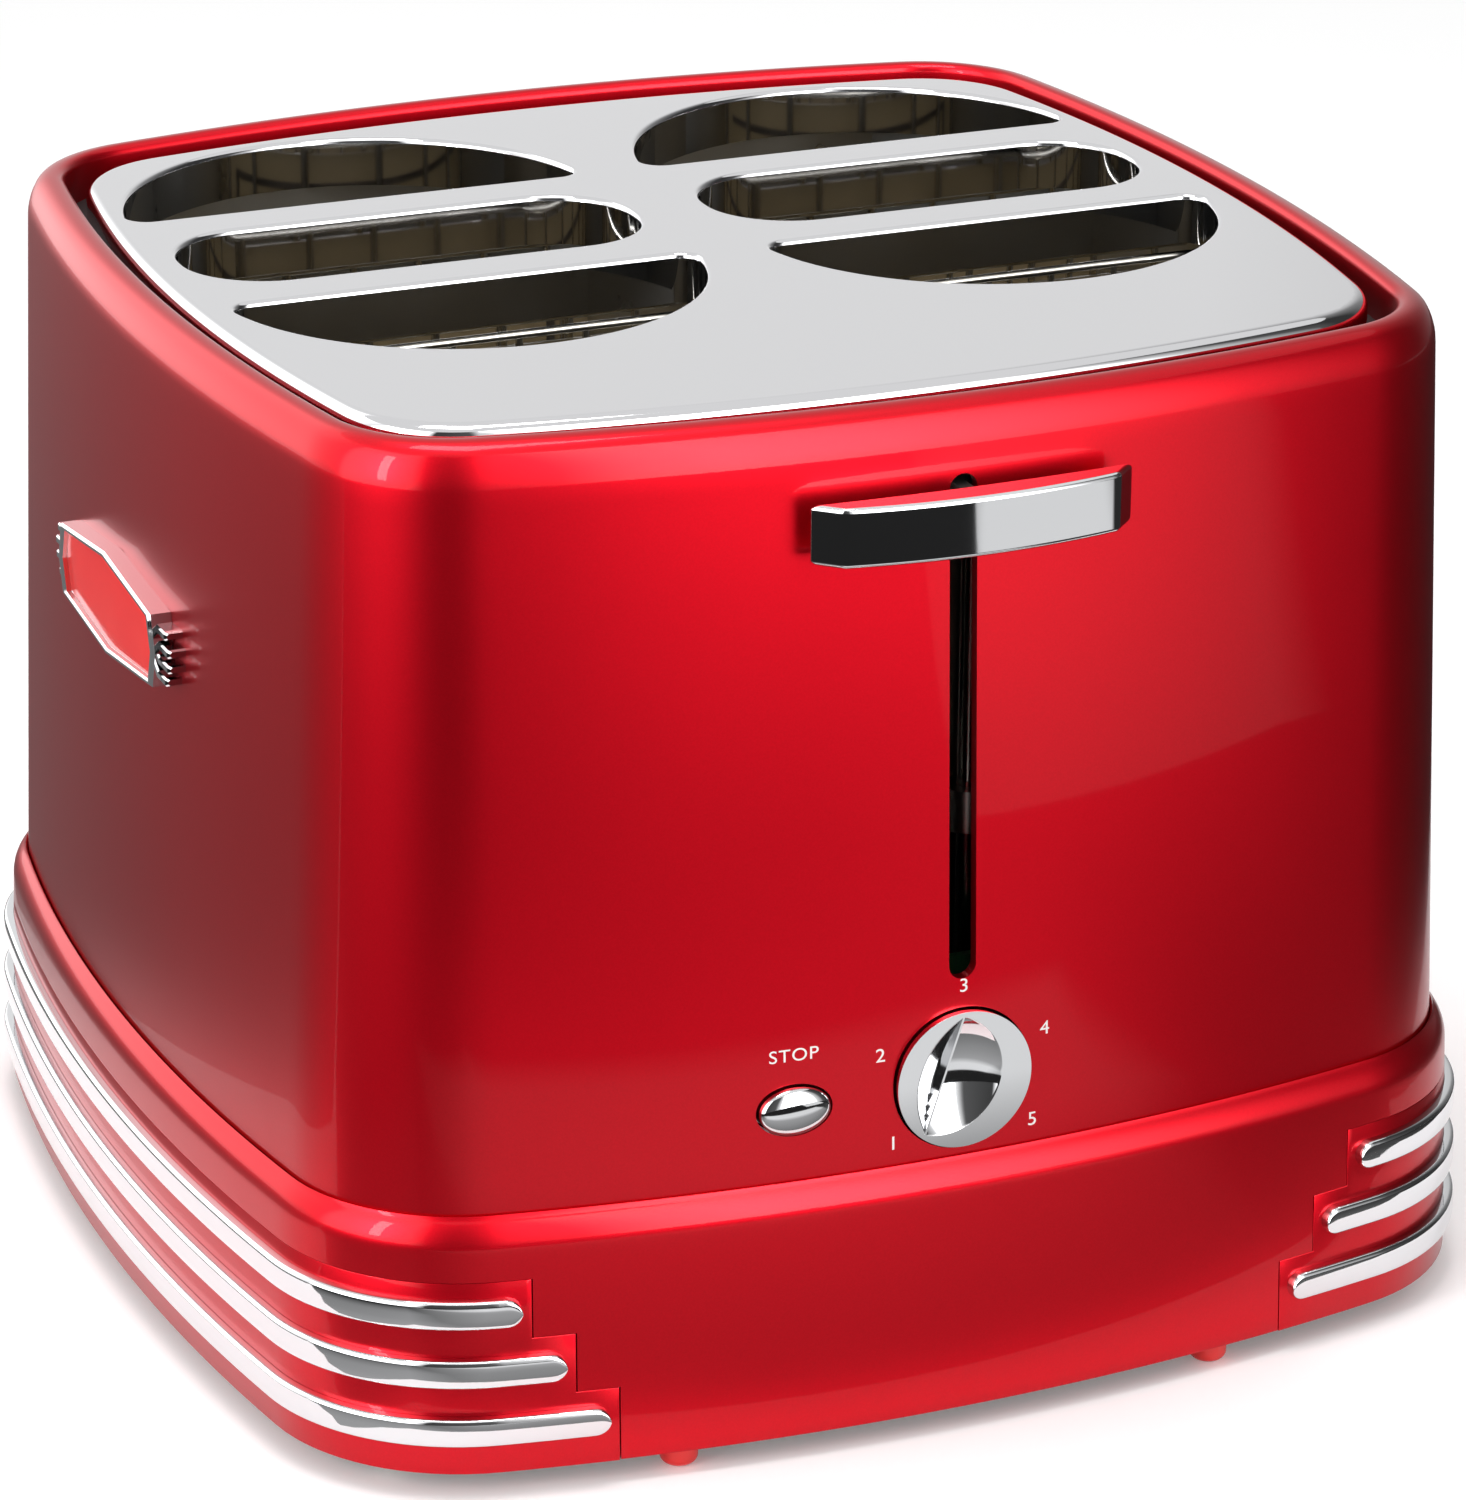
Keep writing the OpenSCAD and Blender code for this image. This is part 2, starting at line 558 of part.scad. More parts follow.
// ---------- bottom plate, feet and screws ----------
foot_at = [52.7, body_d / 2 - 4];
foot_r = 3.5;
vent_count = 7;
vent_pitch = 14;
vent_l = 10;
vent_w = 4;
vent_x = side_x - 11;
module bottom_plate() color("dimgray") difference() {
    translate([0, 0, skirt_z]) linear_extrude(plate_base) polygon(outline(body_path, skirt_in - slack));
    for (x = [-1, 1], y = [-1, 1]) translate([x * boss[0], y * boss[1], 0]) cylinder(r = screw_r + fit, h = floor_z + 1);
    for (x = [-1, 1], i = [0:vent_count - 1])
        block(x * vent_x - vent_l / 2, x * vent_x + vent_l / 2, (i - 3.5) * vent_pitch - vent_w / 2,
            (i - 3.5) * vent_pitch + vent_w / 2, skirt_z - 1, floor_z + 1);
}
module feet() color("red") for (x = [-1, 1], y = [-1, 1]) translate([x * foot_at[0], y * foot_at[1], 0])
    rotate_extrude() polygon(concat([[0, 0]], arc([foot_r - 1.6, 1.6], 1.6, -90, 0, 5), [[foot_r, skirt_z], [0, skirt_z]]));
module bottom_screws() color("silver") for (x = [-1, 1], y = [-1, 1]) translate([x * boss[0], y * boss[1], 0]) {
    translate([0, 0, skirt_z - 1.6]) cylinder(r = 2 * screw_r, h = 1.6);
    translate([0, 0, skirt_z - 0.1]) cylinder(r = screw_r, h = screw_l);
}

// ---------- chassis ----------
wrap_cut = [23, 27];                            // the sheet's slanted rear corners
function wrap_outline(in) = let (x = side_x - wrap_cut[0] - in * 0.5, y = rear_y - wrap_cut[1] - in * 0.4)
    [[in - side_x, sheet - front_y], [in - side_x, y], [-x, rear_y - in],
     [x, rear_y - in], [side_x - in, y], [side_x - in, sheet - front_y]];
arm_y = [slots_y - bun_v - 17, slots_y, slots_y + bun_v + 17];   // where the carriage's cross arms lie
arm_w = 6;
arm_h = 3;
bridge_z = collar_z - 2;                        // rod bridge at the top of the front sheet

module chassis_front() color("lightgray") difference() {
    union() {
        block(-side_x, side_x, -front_y, -front_y + sheet, floor_z, collar_z);
        block(-2 * rod_x, 2 * rod_x, -rod_y - 7, -front_y + sheet, bridge_z, collar_z);
    }
    for (x = [-1, 1]) translate([x * rod_x, -rod_y, bridge_z - 5]) cylinder(r = rod_r + fit, h = 10);
    block(-2.5, 2.5, -front_y - 1, -front_y + 2, floor_z + 6, food_z + 10);
}
module chassis_wrap() color("lightgray") difference() {
    translate([0, 0, floor_z]) linear_extrude(collar_z - floor_z)
        polygon(concat(wrap_outline(0), [for (i = [5:-1:0]) wrap_outline(sheet)[i]]));
    tray_window(tray_gap);
}
module aisle_sheet(side) color("lightgray") difference() {
    block(side < 0 ? -aisle : aisle - sheet, side < 0 ? -aisle + sheet : aisle, -front_y + sheet, rear_y - sheet,
        tray_z + tray_h + 3, plate_z - slot_lip - slack);
    for (y = arm_y) block(side * aisle - 3, side * aisle + 3, y - arm_w / 2 - 1, y + arm_w / 2 + 1,
        food_z - travel - arm_h - 2, food_z + 3);
}
module aisle_sheet_left() aisle_sheet(-1);
module aisle_sheet_right() aisle_sheet(1);

// ---------- heater cards with their ribbons ----------
card_top = collar_z - 6;
card_foot = food_z - travel + 8;
card_y = dog_slot_w / 2 + bridge_w / 2;         // middle of a card, from the middle of the slots
card_in = aisle;
card_out = side_x - sheet;
ribbon_w = 1.6;
ribbon_t = 0.3;
ribbon_margin = 7;

module heater_card(side, end) color("burlywood") block(side < 0 ? -card_out : card_in, side < 0 ? -card_in : card_out,
    slots_y + end * card_y - card_t / 2, slots_y + end * card_y + card_t / 2, card_foot, card_top);

// A flat ribbon that runs to and fro up each face of the card, as one unbroken strip.
module heater_ribbon(side, end) color("slategray") {
    x0 = card_in + ribbon_margin;
    x1 = card_out - ribbon_margin;
    pitch = (card_top - card_foot - 2 * ribbon_margin) / (ribbon_runs - 1);
    for (face = [-1, 1]) {
        y0 = slots_y + end * card_y + face * (card_t + ribbon_t) / 2 - ribbon_t / 2;
        mirror([side < 0 ? 1 : 0, 0, 0]) for (i = [0:ribbon_runs - 1]) {
            z = card_foot + ribbon_margin + i * pitch;
            block(x0, x1, y0, y0 + ribbon_t, z - ribbon_w / 2, z + ribbon_w / 2);
            if (i < ribbon_runs - 1) {
                x = i % 2 == 0 ? x1 - ribbon_w : x0;
                block(x, x + ribbon_w, y0, y0 + ribbon_t, z, z + pitch);
            }
        }
    }
}
module heater_card_front_left() heater_card(-1, -1);
module heater_card_front_right() heater_card(1, -1);
module heater_card_rear_left() heater_card(-1, 1);
module heater_card_rear_right() heater_card(1, 1);
module heater_ribbon_front_left() heater_ribbon(-1, -1);
module heater_ribbon_front_right() heater_ribbon(1, -1);
module heater_ribbon_rear_left() heater_ribbon(-1, 1);
module heater_ribbon_rear_right() heater_ribbon(1, 1);

// ---------- guard wires: two cross wires and a row of uprights in each half ----------
guard_out = bridge_w / 2 - wire_r - 0.5;        // distance of a guard from its card
guard_foot = food_z - travel + 6;
guard_top = plate_z - slot_lip - 3;
module guard(y) color("silver") for (side = [-1, 1]) mirror([side < 0 ? 1 : 0, 0, 0]) {
    for (z = [guard_foot, guard_top])
        translate([card_in, y, z]) rotate([0, 90, 0]) cylinder(r = wire_r, h = card_out - card_in);
    for (i = [0:wire_count - 1]) {
        x = card_in + (card_out - card_in) * (i + 0.5) / wire_count;
        translate([x, y, guard_foot]) cylinder(r = wire_r * 0.8, h = guard_top - guard_foot);
    }
}
module guard_bun_front() guard(slots_y - card_y - guard_out);
module guard_dog_front() guard(slots_y - card_y + guard_out);
module guard_dog_rear() guard(slots_y + card_y - guard_out);
module guard_bun_rear() guard(slots_y + card_y + guard_out);

// ---------- guide rods and magnet ----------
module guide_rods() color("silver") for (x = [-1, 1])
    translate([x * rod_x, -rod_y, floor_z]) cylinder(r = rod_r, h = collar_z + 1 - floor_z);

slider_foot = food_z - 6;
armature_t = 2;
magnet_top = slider_foot - travel - armature_t - slack;
magnet_y = -rod_y - 3;
module magnet_core() color("slategray") {
    block(-7, 7, magnet_y - 4, magnet_y + 4, floor_z, floor_z + 2.5);
    block(-7, -4, magnet_y - 4, magnet_y + 4, floor_z, magnet_top);
    block(4, 7, magnet_y - 4, magnet_y + 4, floor_z, magnet_top);
    translate([0, magnet_y, floor_z]) cylinder(r = 1.5, h = magnet_top - floor_z);
}
module magnet_coil() color("peru") difference() {
    translate([0, magnet_y, floor_z + 2.5]) cylinder(r = 3.8, h = magnet_top - floor_z - 3);
    translate([0, magnet_y, floor_z]) cylinder(r = 1.5 + fit, h = 30);
}

// ---------- circuit board with the timer pot and the stop switch ----------
board_t = 1.6;
pot_face = board_y - 8;
switch_face = board_y - 4;
module circuit_board() color("darkgreen") difference() {
    block(-button_x - board_over, board_right, board_y, board_y + board_t, knob_z - board_low, knob_z + board_up);
    for (b = board_hole) tube_y(board_screw_r + fit, board_y - 1, board_y + 5, b[0], b[1]);
}
module board_screws() color("silver") for (b = board_hole) {
    tube_y(2 * board_screw_r, board_y + board_t, board_y + board_t + 1.4, b[0], b[1]);
    tube_y(board_screw_r, board_y - 7, board_y + board_t + 0.5, b[0], b[1]);
}
module timer_pot() color("dimgray") difference() {
    union() {
        block(-8, 8, pot_face, board_y, knob_z - 8, knob_z + 8);
        tube_y(4.2, pot_face - 2.5, pot_face + 1, 0, knob_z);
    }
    tube_y(shaft_dia / 2 + fit, pot_face - 4, board_y - 1, 0, knob_z);
}
module stop_switch() color("black") difference() {
    block(-button_x - 3, -button_x + 3, switch_face, board_y, button_z - 3, button_z + 3);
    tube_y(1.5 + fit, switch_face - 1, board_y - 0.3, -button_x, button_z);
}

// ---------- cord gland at the back ----------
module cord_gland() color("black") on_back(gland_at[0], gland_at[1]) difference() {
    union() {
        translate([0, 0, -skirt_wall - 4]) cylinder(r = gland_r, h = skirt_wall + 5);
        translate([0, 0, 0.5]) cylinder(r1 = gland_r + 2, r2 = gland_r + 1.2, h = 2);
        translate([0, 0, -skirt_wall - 2.6]) cylinder(r = gland_r + 2, h = 2);
    }
    translate([0, 0, -20]) cylinder(r = gland_r - 1.7, h = 40);
}

// ---------- carriage ----------
slider_y = -rod_y + 4;                          // front face of the slider's sheet
slider_t = 2;
slider_top = lever_z + blade_h / 2;
slider_x = rod_x + 12;                          // half the slider's width
eye_h = 8;
spring_x = rod_x + 8;
spring_back = 14;                               // distance of the spring behind the rods
spring_y = spring_back - rod_y;
hook_up = 24;
hook_z = slider_foot + hook_up;
hook_t = 1.5;
slider_cut = [9, 20, 22];                       // its window: half width, distance from the foot and from the top
module slider() color("lightgray") difference() {
    union() {
        block(-slider_x, slider_x, slider_y, slider_y + slider_t, slider_foot, slider_top);
        for (x = [-1, 1], z = [slider_foot + 2, slider_top - eye_h])
            translate([x * rod_x, -rod_y, z]) cylinder(r = 4.6, h = eye_h);
        block(spring_x - 4, spring_x + 4, slider_y, spring_y + 4, hook_z - hook_t, hook_z);
    }
    for (x = [-1, 1]) translate([x * rod_x, -rod_y, 0]) cylinder(r = rod_r + fit, h = total_h);
    block(-slider_cut[0], slider_cut[0], slider_y - 1, slider_y + slider_t + 1,
        slider_foot + slider_cut[1], slider_top - slider_cut[2]);
}

handle_back = -front_at(0, lean(lever_z)) - lever_gap;
handle_front = handle_back - lever_t;
pocket = 3;                                     // how deep the blade goes into the handle
tab_w = 16;                                     // the blade's tab on the slider
tab_t = 1.5;
module lever_blade() color("lightgray") {
    block(-blade_t / 2, blade_t / 2, handle_back - pocket, slider_y - tab_t, lever_z - blade_h / 2, lever_z + blade_h / 2);
    block(-tab_w / 2, tab_w / 2, slider_y - tab_t, slider_y, lever_z - blade_h / 2, lever_z + blade_h / 2);
}
face_turn = asin((lever_w / 2 - lever_chamfer) / lever_bow);
back_turn = asin(lever_w / 2 / (front_bow + lever_gap));
function handle_outline() = concat(
    arc([0, handle_front + lever_bow], lever_bow, -90 - face_turn, -90 + face_turn, 12),
    arc([0, handle_back + front_bow + lever_gap], front_bow + lever_gap, -90 + back_turn, -90 - back_turn, 6));
module lever_handle() color("gainsboro") difference() {
    translate([0, 0, lever_z - lever_h / 2]) linear_extrude(lever_h) polygon(handle_outline());
    block(-blade_t / 2 - fit, blade_t / 2 + fit, handle_back - pocket - fit, handle_back + 5,
        lever_z - blade_h / 2 - fit, lever_z + blade_h / 2 + fit);
}

beam_t = 1.6;                                   // the beam down the aisle
beam_end = 8;                                   // how far it goes past the last arm
beam_low = 8;
beam_up = 4;
arm_gap = 6;                                    // distance of the arms' ends from the side sheets
module carriage_frame() color("lightgray") {
    block(-beam_t / 2, beam_t / 2, slider_y + slider_t, arm_y[2] + beam_end, food_z - beam_low, food_z + beam_up);
    for (y = arm_y) block(arm_gap - card_out, card_out - arm_gap, y - arm_w / 2, y + arm_w / 2, food_z - arm_h, food_z);
}
module armature() color("slategray")
    block(-8, 8, magnet_y - 5, slider_y, slider_foot - armature_t, slider_foot);

lifter_t = 1.5;
lifter_inset = 5;                               // how far a lifter stays inside its slot
lifter_tip = 3;
lifter_rim = 3;                                 // solid strip along its straight side
lifter_bar = 4;                                 // bar between its two rows of holes
hole_pitch = 10;
hole_w = 6;
hole_near = bun_slot_d / 2 - lifter_inset - 7.5;    // length of the holes next to the straight side
hole_far = bun_slot_d / 2 - lifter_inset - 5;       // and of the middle one next to the bow
module bun_lifter(side, end) color("silver") translate([side * column_x, slots_y, food_z])
    mirror([0, end < 0 ? 1 : 0, 0]) difference() {
        translate([0, bun_v]) linear_extrude(lifter_t)
            polygon(d_outline(bun_r - lifter_inset, bun_v0, lifter_inset, lifter_tip));
        for (i = [-3:3]) translate([i * hole_pitch - hole_w / 2, bun_v + lifter_inset + lifter_rim, -1])
            cube([hole_w, hole_near, lifter_t + 2]);
        for (i = [-2:2]) translate([i * hole_pitch - hole_w / 2, bun_v + lifter_inset + lifter_rim + hole_near + lifter_bar, -1])
            cube([hole_w, hole_far - abs(i) * 2, lifter_t + 2]);
    }
module bun_lifter_front_left() bun_lifter(-1, -1);
module bun_lifter_front_right() bun_lifter(1, -1);
module bun_lifter_rear_left() bun_lifter(-1, 1);
module bun_lifter_rear_right() bun_lifter(1, 1);

cup_h = 9;
module dog_cups(side) color("silver") for (x = [-1, 1])
    translate([side * column_x + x * dog_pitch / 2, slots_y, food_z]) difference() {
        cylinder(r = cup_dia / 2, h = cup_h);
        translate([0, 0, 1.2]) cylinder(r = cup_dia / 2 - 1, h = cup_h);
        for (a = [0:60:300]) rotate([0, 0, a + 30]) translate([cup_dia / 4 + 0.5, 0, -1]) cylinder(r = 2, h = 4);
    }
module dog_cups_left() dog_cups(-1);
module dog_cups_right() dog_cups(1);

// ---------- return spring: one unbroken coil between the rod bridge and the slider's hook ----------
spring_r = 3.2;
spring_wire = 0.45;
spring_low = hook_z + spring_wire;
spring_high = bridge_z - spring_wire;
rings = spring_curls * 8;
function coil(t) = let (a = 360 * spring_curls * t) [spring_x + spring_r * cos(a), spring_y + spring_r * sin(a),
    spring_low + (spring_high - spring_low) * t];
module return_spring() color("silver") {
    pts = [for (i = [0:rings], k = [0:5]) let (t = i / rings, a = 360 * spring_curls * t, b = 60 * k)
        coil(t) + spring_wire * [cos(b) * cos(a), cos(b) * sin(a), sin(b)]];
    faces = concat([[for (k = [0:5]) k]],
        [for (i = [0:rings - 1], k = [0:5]) [i * 6 + k, i * 6 + 6 + k, i * 6 + 6 + (k + 1) % 6]],
        [for (i = [0:rings - 1], k = [0:5]) [i * 6 + k, i * 6 + 6 + (k + 1) % 6, i * 6 + (k + 1) % 6]],
        [[for (k = [5:-1:0]) rings * 6 + k]]);
    polyhedron(pts, faces);
}

// ---------- knob ----------
knob_face = panel_y - knob_out;
knob_back = knob_face + knob_t;
scoop_w = 11.7;                                 // width of the broad scoop, from the ridge
side_scoop_w = 4.9;                             // width of the narrow scoop on the ridge's other side
// Radius of the round cutter that leaves a scoop of width w and depth h.
function cutter_r(w, h) = (w * w / 4 + h * h) / (2 * h);
module scoop(s0, w, h) intersection() {
    translate([s0 + w / 2, 0, cutter_r(w, h) - h]) rotate([90, 0, 0])
        cylinder(r = cutter_r(w, h), h = knob_dia, center = true);
    translate([0, 0, -h - 1]) cylinder(r = knob_dia / 2 - 1.2, h = 2 * h + 2);
}
module knob() color("gainsboro") translate([0, knob_face, knob_z]) rotate([90, 0, 0]) difference() {
    translate([0, 0, -knob_t]) cylinder(r = knob_dia / 2, h = knob_t, $fn = 96);
    rotate([0, 0, ridge_dir - 90]) {
        scoop(-ridge_off, scoop_w, scoop_deep);
        scoop(-ridge_off - ridge_w - side_scoop_w, side_scoop_w, side_scoop_w * 0.45);
    }
    translate([0, 0, -knob_t - 1]) cylinder(r = shaft_dia / 2 + fit, h = 2.4);
}
module knob_shaft() color("silver")
    tube_y(shaft_dia / 2, knob_back - 1.3, board_y - 2, 0, knob_z);

// ---------- stop button ----------
button_face = button_y - 2.4;
button_back = button_y + wall + 2.6;
dome_r = 14;
module stop_button() color("gainsboro") {
    intersection() {
        oval_y(button_w, button_h, button_face - 1, button_back, -button_x, button_z);
        union() {
            translate([-button_x, button_face + dome_r, button_z]) sphere(r = dome_r, $fn = 96);
            block(-button_x - 20, -button_x + 20, button_face + 4, button_back, button_z - 20, button_z + 20);
        }
    }
    oval_y(button_w + 3, button_h + 3, button_back - 1.2, button_back, -button_x, button_z);
    tube_y(2, button_back - 0.5, switch_face - 1.9, -button_x, button_z);
}
module switch_plunger() color("white") tube_y(1.5, switch_face - 1.9, board_y - 0.4 - button_travel, -button_x, button_z);

// ---------- drip tray, drawn out at the back ----------
tray_front = -front_y + sheet + 6;
tray_back = skirt_in - 0.2;                     // offset of the pan's bowed back wall
tray_t = 1;
function tray_outline(in) =
    let (r = front_bow + tray_back - in, a = asin((tray_w / 2 - in) / r))
    concat([[-tray_w / 2 + in, tray_front + in], [tray_w / 2 - in, tray_front + in]],
        arc([0, body_d / 2 - front_bow], r, 90 - a, 90 + a, 10));
module drip_tray() color("gainsboro") {
    difference() {
        translate([0, 0, tray_z]) linear_extrude(tray_h) polygon(tray_outline(0));
        translate([0, 0, tray_z + tray_t]) linear_extrude(tray_h) polygon(tray_outline(tray_t));
    }
    difference() {
        turn = asin((tray_w / 2 + 1) / (front_bow + flare));
        bow([0, body_d / 2 - front_bow], front_bow, 90 - turn, 90 + turn)
            polygon([[tray_back - tray_t / 2, tray_z], [skirt_face(tray_z), tray_z],
                [skirt_face(tray_z + tray_h + 1), tray_z + tray_h + 1], [tray_back - tray_t / 2, tray_z + tray_h + 1]]);
        on_back(0, tray_z + tray_h + 4) translate([0, 0, -1]) rotate([90, 0, 0])
            cylinder(r = 6, h = 40, center = true);
    }
}
body_shell();
base_skirt();
trim_panel_left();
trim_panel_right();
rib_left_lower();
rib_left_middle();
rib_left_upper();
rib_right_lower();
rib_right_middle();
rib_right_upper();
badge_frame();
badge_insert();
top_plate();
top_collar();
bottom_plate();
feet();
bottom_screws();
chassis_front();
chassis_wrap();
aisle_sheet_left();
aisle_sheet_right();
heater_card_front_left();
heater_card_front_right();
heater_card_rear_left();
heater_card_rear_right();
heater_ribbon_front_left();
heater_ribbon_front_right();
heater_ribbon_rear_left();
heater_ribbon_rear_right();
guard_bun_front();
guard_dog_front();
guard_dog_rear();
guard_bun_rear();
guide_rods();
magnet_core();
magnet_coil();
circuit_board();
board_screws();
timer_pot();
stop_switch();
cord_gland();
slider();
lever_blade();
lever_handle();
carriage_frame();
armature();
bun_lifter_front_left();
bun_lifter_front_right();
bun_lifter_rear_left();
bun_lifter_rear_right();
dog_cups_left();
dog_cups_right();
return_spring();
knob();
knob_shaft();
stop_button();
switch_plunger();
drip_tray();
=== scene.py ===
# Four-place hot dog toaster with pop-up carriage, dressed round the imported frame.
import bpy, bmesh
import numpy as np
from math import sin, cos, tan, asin, acos, atan2, pi, radians, degrees, sqrt
from mathutils import Matrix, Vector
from mathutils.geometry import delaunay_2d_cdt


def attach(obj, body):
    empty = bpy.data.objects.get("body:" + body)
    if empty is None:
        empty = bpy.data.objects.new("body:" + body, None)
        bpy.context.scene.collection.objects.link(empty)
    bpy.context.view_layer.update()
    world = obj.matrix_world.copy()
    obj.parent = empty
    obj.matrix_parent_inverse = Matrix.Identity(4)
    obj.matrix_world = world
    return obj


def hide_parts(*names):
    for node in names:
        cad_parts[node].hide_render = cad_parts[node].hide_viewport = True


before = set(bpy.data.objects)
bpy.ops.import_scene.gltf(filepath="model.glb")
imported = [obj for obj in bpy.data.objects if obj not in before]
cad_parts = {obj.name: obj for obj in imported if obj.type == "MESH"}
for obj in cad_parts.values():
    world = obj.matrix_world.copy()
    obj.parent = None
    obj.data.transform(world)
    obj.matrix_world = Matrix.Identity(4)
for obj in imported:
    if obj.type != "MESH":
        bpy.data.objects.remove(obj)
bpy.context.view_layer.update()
mm = 0.001

# ---------------------------------------------------------------------------
# Body: one moulded wall that bows out on all four sides and rolls over into a
# rim with a hanging inner lip. It stands on the skirt's ledge. Its slot takes
# the lever's blade, and round holes take the knob and the stop button.
# ---------------------------------------------------------------------------
body_path = dict(w=119.0, d=117.5, front=431.0, side=509.0, r=34.0)   # half sizes and radii, mm
lean_z, draft = 50.0, radians(2.2)
wall, total_h, ledge_z = 2.2, 190.5, 42.0
soft_r, rim_r, rim_turn = 12.0, 4.5, radians(30)
lip_r, lip_t, lip_drop = 1.8, 1.4, 8.5

def lean(z):
    return -(z - lean_z) * tan(draft)

def arc(c, r, a0, a1, n):
    """n + 1 points of an arc, angles in degrees."""
    t = np.radians(np.linspace(a0, a1, n + 1))
    return np.stack([c[0] + r * np.cos(t), c[1] + r * np.sin(t)], axis=1)

def corner(p):
    """Centre of the right front corner arc, and the turns of the front and side arcs to it."""
    f, s = np.array([0, p["front"] - p["d"]]), np.array([p["w"] - p["side"], 0])
    rf, rs = p["front"] - p["r"], p["side"] - p["r"]
    gap = np.linalg.norm(s - f)
    a = (rf * rf - rs * rs + gap * gap) / (2 * gap)
    h, u = sqrt(rf * rf - a * a), (s - f) / gap
    c = f + a * u + h * np.array([-u[1], u[0]])
    if c[0] < 0:
        c = f + a * u - h * np.array([-u[1], u[0]])
    return c, degrees(atan2(c[0], f[1] - c[1])), degrees(atan2(-c[1], c[0] - s[0]))

def quarter(p, n_front, n_corner, n_side, start=0.0):
    """Centres, radii and angles of the outline, from x = start on the front to mid right side."""
    c, f, s = corner(p)
    e = degrees(asin(start / p["front"]))
    rows = [((0, p["front"] - p["d"]), p["front"], a) for a in np.linspace(e - 90, f - 90, n_front + 1)]
    rows += [(c, p["r"], a) for a in np.linspace(f - 90, -s, n_corner + 1)[1:]]
    rows += [((p["w"] - p["side"], 0), p["side"], a) for a in np.linspace(-s, 0, n_side + 1)[1:]]
    return rows

def points(rows, d):
    """Those rows as points, moved outwards by d."""
    return np.array([[c[0] + (r + d) * cos(radians(a)), c[1] + (r + d) * sin(radians(a))]
                     for c, r, a in rows])

def whole(p, d, n=(20, 14, 20)):
    """The whole closed outline, moved outwards by d."""
    q = points(quarter(p, *n), d)
    half = np.concatenate([q, (q * [1, -1])[::-1][1:]])
    return np.concatenate([half, (half * [-1, 1])[::-1][1:-1]])

def bands(rows, n):
    """The quads between rows of n vertices each, every row closed on itself."""
    return [(i * n + k, i * n + (k + 1) % n, (i + 1) * n + (k + 1) % n, (i + 1) * n + k)
            for i in range(rows - 1) for k in range(n)]

def capped(rows, n):
    """Those quads, with the first and the last row closed by a face each."""
    return bands(rows, n) + [tuple(range(n))[::-1], tuple(range((rows - 1) * n, rows * n))]

def rings(loops, heights):
    """Vertices of stacked closed loops, and the quads between each loop and the next."""
    verts = [(x, y, z) for loop, z in zip(loops, heights) for x, y in loop]
    return verts, bands(len(loops), len(loops[0]))

def swept(p, profile, n=(20, 14, 20)):
    """A closed profile of [offset, height] points, taken round the outline."""
    profile = list(profile) + [profile[0]]
    verts, faces = rings([whole(p, d, n) for d, z in profile], [z for d, z in profile])
    k = len(verts) - len(verts) // len(profile)
    return verts[:k], [tuple(v % k for v in f) for f in faces]

def linear(hexcode):
    """An sRGB hex colour as linear RGBA."""
    c = [int(hexcode[i:i + 2], 16) / 255 for i in (1, 3, 5)]
    return [v / 12.92 if v <= 0.04045 else ((v + 0.055) / 1.055) ** 2.4 for v in c] + [1.0]

def node(tree, kind, settings={}, **links):
    """Adds a node; settings are attributes or input names, links feed its inputs."""
    n = tree.nodes.new(kind)
    for key, value in settings.items():
        if isinstance(key, str) and hasattr(n, key) and key not in n.inputs:
            setattr(n, key, value)
        else:
            n.inputs[key].default_value = value
    for key, source in links.items():
        numbered = key[0] == "_" and key[1:].isdigit()
        target = n.inputs[int(key[1:])] if numbered else n.inputs[key.replace("_", " ")]
        tree.links.new(source, target)
    return n

def finish(name, shader):
    """A new material whose surface is what shader(tree) returns."""
    m = bpy.data.materials.new(name)
    m.use_nodes = True
    t = m.node_tree
    t.nodes.clear()
    out = node(t, "ShaderNodeOutputMaterial")
    t.links.new(shader(t).outputs[0], out.inputs["Surface"])
    return m

def mesh_object(name, verts, faces, scale=mm):
    m = bpy.data.meshes.new(name)
    m.from_pydata([[c * scale for c in v] for v in verts], [], faces)
    m.validate()
    o = bpy.data.objects.new(name, m)
    bpy.context.scene.collection.objects.link(o)
    return o

def outward(o, merge=0.0):
    """Merges doubles and turns every face outwards."""
    b = bmesh.new()
    b.from_mesh(o.data)
    if merge:
        bmesh.ops.remove_doubles(b, verts=b.verts, dist=merge)
    bmesh.ops.recalc_face_normals(b, faces=b.faces)
    b.to_mesh(o.data)
    b.free()

def cut(o, cutters, operation="DIFFERENCE"):
    """Cuts the cutters out of o and removes them."""
    for c in cutters:
        outward(c)
        mod = o.modifiers.new("cut", "BOOLEAN")
        mod.operation, mod.object, mod.solver = operation, c, "EXACT"
    bake(o)
    for c in cutters:
        bpy.data.objects.remove(c)

def bake(o):
    """Turns the object's modifiers into its mesh."""
    deps = bpy.context.evaluated_depsgraph_get()
    m = bpy.data.meshes.new_from_object(o.evaluated_get(deps))
    o.modifiers.clear()
    o.data = m

def bevelled(o, width, segments, angle):
    """Rounds the edges that turn by more than the angle, once the object is baked."""
    m = o.modifiers.new("edge", "BEVEL")
    m.width, m.segments, m.limit_method, m.angle_limit = width * mm, segments, "ANGLE", radians(angle)

def smooth(o, angle=35, weighted=False):
    o.data.shade_smooth()
    o.data.set_sharp_from_angle(angle=radians(angle))
    if weighted:
        mod = o.modifiers.new("normals", "WEIGHTED_NORMAL")
        mod.keep_sharp, mod.weight = True, 80
        bake(o)

